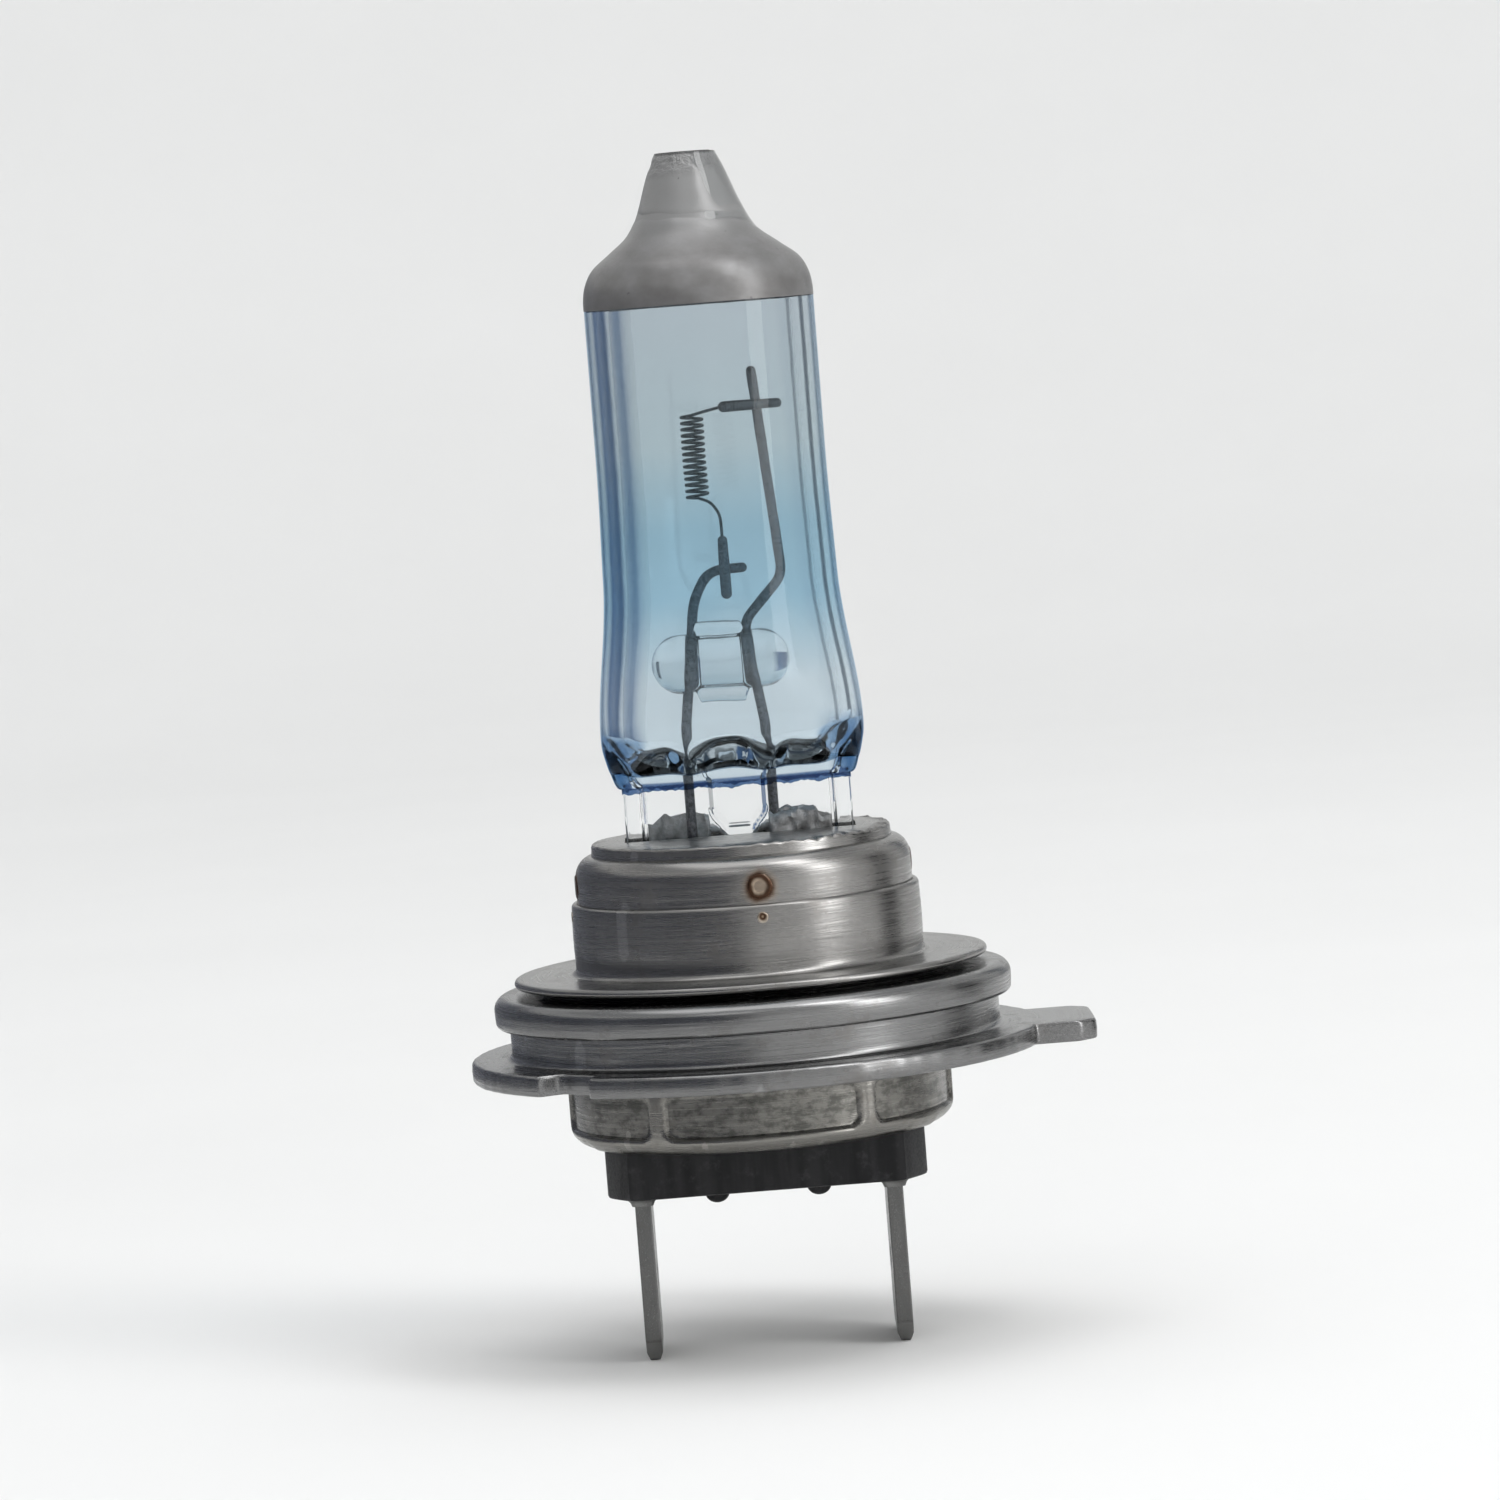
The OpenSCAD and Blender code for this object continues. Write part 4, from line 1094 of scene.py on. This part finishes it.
def torn_strip(half_x, half_y, corner, low, top, seed):
    """An upright strip whose top edge is torn. top gives its height at each x."""
    outline = rounded_box(half_x, half_y, corner, 2)
    points = []
    for i, p in enumerate(outline):
        points += straight(p, outline[(i + 1) % len(outline)], 0.12)
    rings = []
    for t in (level / 18 for level in range(19)):
        ring = []
        for x, y in points:
            tear = 0.3 * wobble(x, y, 0, 0.5, seed) + 0.12 * wobble(x, y, 0, 0.2, seed)
            z = lerp(low, top(x), t) + tear * t ** 3
            crease = abs(wobble(x, y, z, 0.6, seed + 3)) + 0.5 * abs(wobble(x, y, z, 0.3, seed))
            push = 0.32 * (0.3 - crease) * (1 if y > 0 else -1)
            push += 0.05 * wobble(x, y, z, 0.15, seed)
            ring.append((x, y * (1 - 0.25 * smooth((t - 0.93) / 0.07)) + push, z))
        rings.append(ring)
    return rings


def make_clips(material):
    """Two folded strips. Each lies on the holder and grips the pinch with two torn tongues."""
    thick, middle = 0.4, 3.0
    for name, side in (("front_grip_clip", -1), ("rear_grip_clip", 1)):
        low, high = box_mm(name)
        shapes = []
        for hand in (-1, 1):
            def top(x):
                step = smooth((x * hand - 0.75) / 0.25) * 0.4
                return high.z - 0.05 - step - 0.12 * smooth((-x * hand - 1.0) / 0.2)
            rings = torn_strip(1.55, thick / 2, 0.12, low.z, top, 3.0 + hand + side)
            shapes.append(stacked([[(hand * middle + x, side * (WEB_HALF_T + thick / 2 + y), z)
                                    for x, y, z in ring] for ring in rings]))
        foot = []
        for z, inset in ((0, 0.02), (0.06, 0), (0.24, 0), (0.3, 0.06)):
            foot.append([(x + 0.05 * wobble(x, y, z, 0.5, 2.0), side * 2.25 + y,
                          high.z - 1 + z + 0.05 * wobble(x, y, z, 0.6, 8.0))
                         for x, y in rounded_box(4.55 - inset, 0.95 - inset, 0.5, 4)])
        add_piece("torn_" + name, combined(shapes + [stacked(foot)]), [name],
                  material, 50)


def make_welds(material):
    """Small laser weld spots: a raised rim round a shallow crater."""
    profile = ((0.12, -0.02), (0.25, -0.01), (0.36, 0.015), (0.46, 0.04), (0.54, 0.03),
               (0.6, 0.0), (0.64, -0.15))
    shapes = []
    for middle in (WELD_ANGLE + quarter * math.pi / 2 for quarter in range(4)):
        for radius, height, size in ((CUP_R + 0.01, 4.35, 1), (COLLAR_R + 0.025, 2.85, 0.45)):
            rings = []
            for reach, lift in profile:
                ring = []
                for a in full_turn(28):
                    rough = 1 + 0.08 * wobble(math.cos(a), math.sin(a), middle + height, 0.7)
                    u, v = (size * reach * rough * f(a) for f in (math.cos, math.sin))
                    turn, r = middle + u / radius, radius + size * lift
                    ring.append((r * math.cos(turn), r * math.sin(turn), height + v))
                rings.append(ring)
            shapes.append(stacked(rings))
    add_piece("weld_spots", joined(*shapes), ["weld_nuggets"], material)


# Stage, lights and camera

def add_stage(name, shape, material):
    """Something round the bulb, in metres, that belongs to the picture and not to the part."""
    mesh = bpy.data.meshes.new(name)
    mesh.from_pydata(shape[0], [], shape[1])
    mesh.shade_smooth()
    mesh.materials.append(material)
    thing = link(name, mesh)
    return thing


def make_backdrop(floor_z):
    """A wide pale bowl: a flat floor that curves up into a wall all round, with no visible edge."""
    profile = [(0.02, 0), (0.1, 0), (0.45, 0)]
    profile += [(0.45 + 0.3 * math.sin(a), 0.3 - 0.3 * math.cos(a))
                for a in (math.pi / 2 * i / 12 for i in range(1, 13))]
    profile += [(0.75, 0.75)]
    verts, faces = stacked([[(r * math.cos(a), r * math.sin(a), floor_z + z)
                             for a in full_turn(128)] for r, z in profile], "open")
    faces = [face[::-1] for face in faces] + [tuple(range(128))]
    add_stage("backdrop", (verts, faces), backdrop_finish())


def softbox(name, azimuth, elevation, distance, width, height, radiance):
    """A soft light. Azimuth 0 is at the camera's side and 90 at the right."""
    light = bpy.data.lights.new(name, "AREA")
    light.shape, light.size, light.size_y = "RECTANGLE", width, height
    light.energy = radiance * width * height * math.pi
    lamp = link(name, light)
    a, e = math.radians(azimuth), math.radians(elevation)
    lamp.location = Vector((math.sin(a) * math.cos(e), -math.cos(a) * math.cos(e),
                            math.sin(e))) * distance
    toward_bulb = Vector((0, 0, 0.01)) - lamp.location
    lamp.rotation_euler = toward_bulb.to_track_quat("-Z", "Y").to_euler()
    lamp.visible_camera = False
    lamp.visible_transmission = False


def dark_card(name, start, end, distance, colour, fade, through_glass=False):
    """An upright curved card round part of the set, from one azimuth to another.

    Metal and glass show it as a dark band, and it grows paler over the last fade degrees at both
    ends, so that the band ends softly. The camera doesn't see it.
    """
    finish = Finish(name)
    low, high, steps = (-0.002 if through_glass else CAD_BOX[0][2]), 0.058, 24
    middle, half = math.radians((start + end) / 2), math.radians(abs(end - start) / 2)
    facing = finish.node("VectorRotate", {"Vector": finish.place, "Angle": -middle},
                         rotation_type="Z_AXIS").outputs[0]
    split = finish.node("SeparateXYZ", {0: facing})
    aside = finish.math("ABSOLUTE", finish.math("ARCTAN2", split.outputs["X"],
                                                finish.times(split.outputs["Y"], -1)))
    folds = finish.noise(1, 2, place=finish.stretched(0.06, 0.06, 0.004))
    tone = finish.blend(finish.between(folds, 0.35, 0.7), scaled(colour, 0.6), colour)
    tone = finish.blend(finish.between(aside, half - math.radians(fade), half), tone,
                        (0.6, 0.6, 0.6))
    verts = []
    for a in (math.radians(lerp(start, end, i / steps)) for i in range(steps + 1)):
        verts += [(distance * math.sin(a), -distance * math.cos(a), z) for z in (low, high)]
    faces = [(2 * i, 2 * i + 2, 2 * i + 3, 2 * i + 1) for i in range(steps)]
    card = add_stage(name, (verts, faces), finish.show(base_color=tone, roughness=0.9))
    card.visible_camera = False
    card.visible_shadow = False
    card.visible_diffuse = False
    card.visible_transmission = through_glass


def make_world():
    world = bpy.data.worlds.new("studio")
    world.use_nodes = True
    sky = world.node_tree.nodes["Background"]
    sky.inputs["Color"].default_value = (0.96, 0.98, 1.0, 1)
    sky.inputs["Strength"].default_value = 0.57
    bpy.context.scene.world = world


def make_camera():
    """The photograph's camera: level with the tip paint's edge, looking down a little, leaned."""
    low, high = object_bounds()
    lean, shown, sensor = math.radians(4.5), 0.074, 36
    data = bpy.data.cameras.new("camera")
    camera = link("camera", data)
    camera.location = Vector((-0.0002, -0.317, 0.032))
    sight = Vector((0.0008, 0, (low.z + high.z) / 2)) - camera.location
    look = sight.normalized()
    right = look.cross(Vector((0, 0, 1))).normalized()
    up = right.cross(look)
    tilted_right = right * math.cos(lean) - up * math.sin(lean)
    tilted_up = right * math.sin(lean) + up * math.cos(lean)
    camera.rotation_euler = Matrix((tilted_right, tilted_up, -look)).transposed().to_euler()
    data.sensor_width, data.lens = sensor, sensor * sight.length / shown
    data.clip_start, data.clip_end = 0.01, 10
    bpy.context.scene.camera = camera


make_camera()
bpy.context.scene.view_settings.view_transform = "Standard"

moly = wire("molybdenum_wire", (0.085, 0.09, 0.10))
drawn = steel("drawn_steel", welds=WELD_STAINS)
pressed = steel("pressed_steel", colour=(0.22, 0.22, 0.22), rough=0.25)

make_envelope(quartz("clear_quartz", 1.458))
make_film(blue_film())
make_tip(tip_paint())
make_leads(moly)
make_sleeves(moly)
make_filament(wire("tungsten_wire", (0.05, 0.055, 0.06), 0.5, 0.01))
make_bead(quartz("bead_quartz", 1.46))
make_clips(rough_steel())
make_holder(drawn)
make_cup(drawn)
make_collar(drawn)
make_welds(weld())
make_ring(pressed)
make_plate(pressed)
make_shell(steel("satin_shell", colour=(0.235, 0.228, 0.212), rough=0.28, dirt=0.35,
                 stain_scale=1.3, windows=True))
make_insulator(black_plastic())
make_blades(steel("plated_blade", colour=(0.15, 0.15, 0.147), rough=0.33, around=False))
for hidden in ("long_lead_foil", "short_lead_foil", "long_outer_lead", "short_outer_lead"):
    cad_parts[hidden].data.materials.clear()
    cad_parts[hidden].data.materials.append(moly)

make_backdrop(CAD_BOX[0][2])
make_world()
softbox("key", 56, 12, 0.5, 0.15, 0.42, 5)
softbox("high_key", 50, 52, 0.55, 0.16, 0.3, 5)
softbox("top", 0, 88, 1.0, 0.9, 0.9, 1.45)
softbox("front_fill", -12, 35, 0.8, 0.3, 0.3, 0.9)
dark_card("left_card", 2, -172, 0.11, (0.2, 0.21, 0.25), 18)
dark_card("left_back_card", -123, -168, 0.12, (0.075, 0.14, 0.27), 12, through_glass=True)
dark_card("right_card", 94, 117, 0.12, (0.05, 0.05, 0.055), 5)
dark_card("right_back_card", 140, 153, 0.12, (0.08, 0.11, 0.15), 4, through_glass=True)
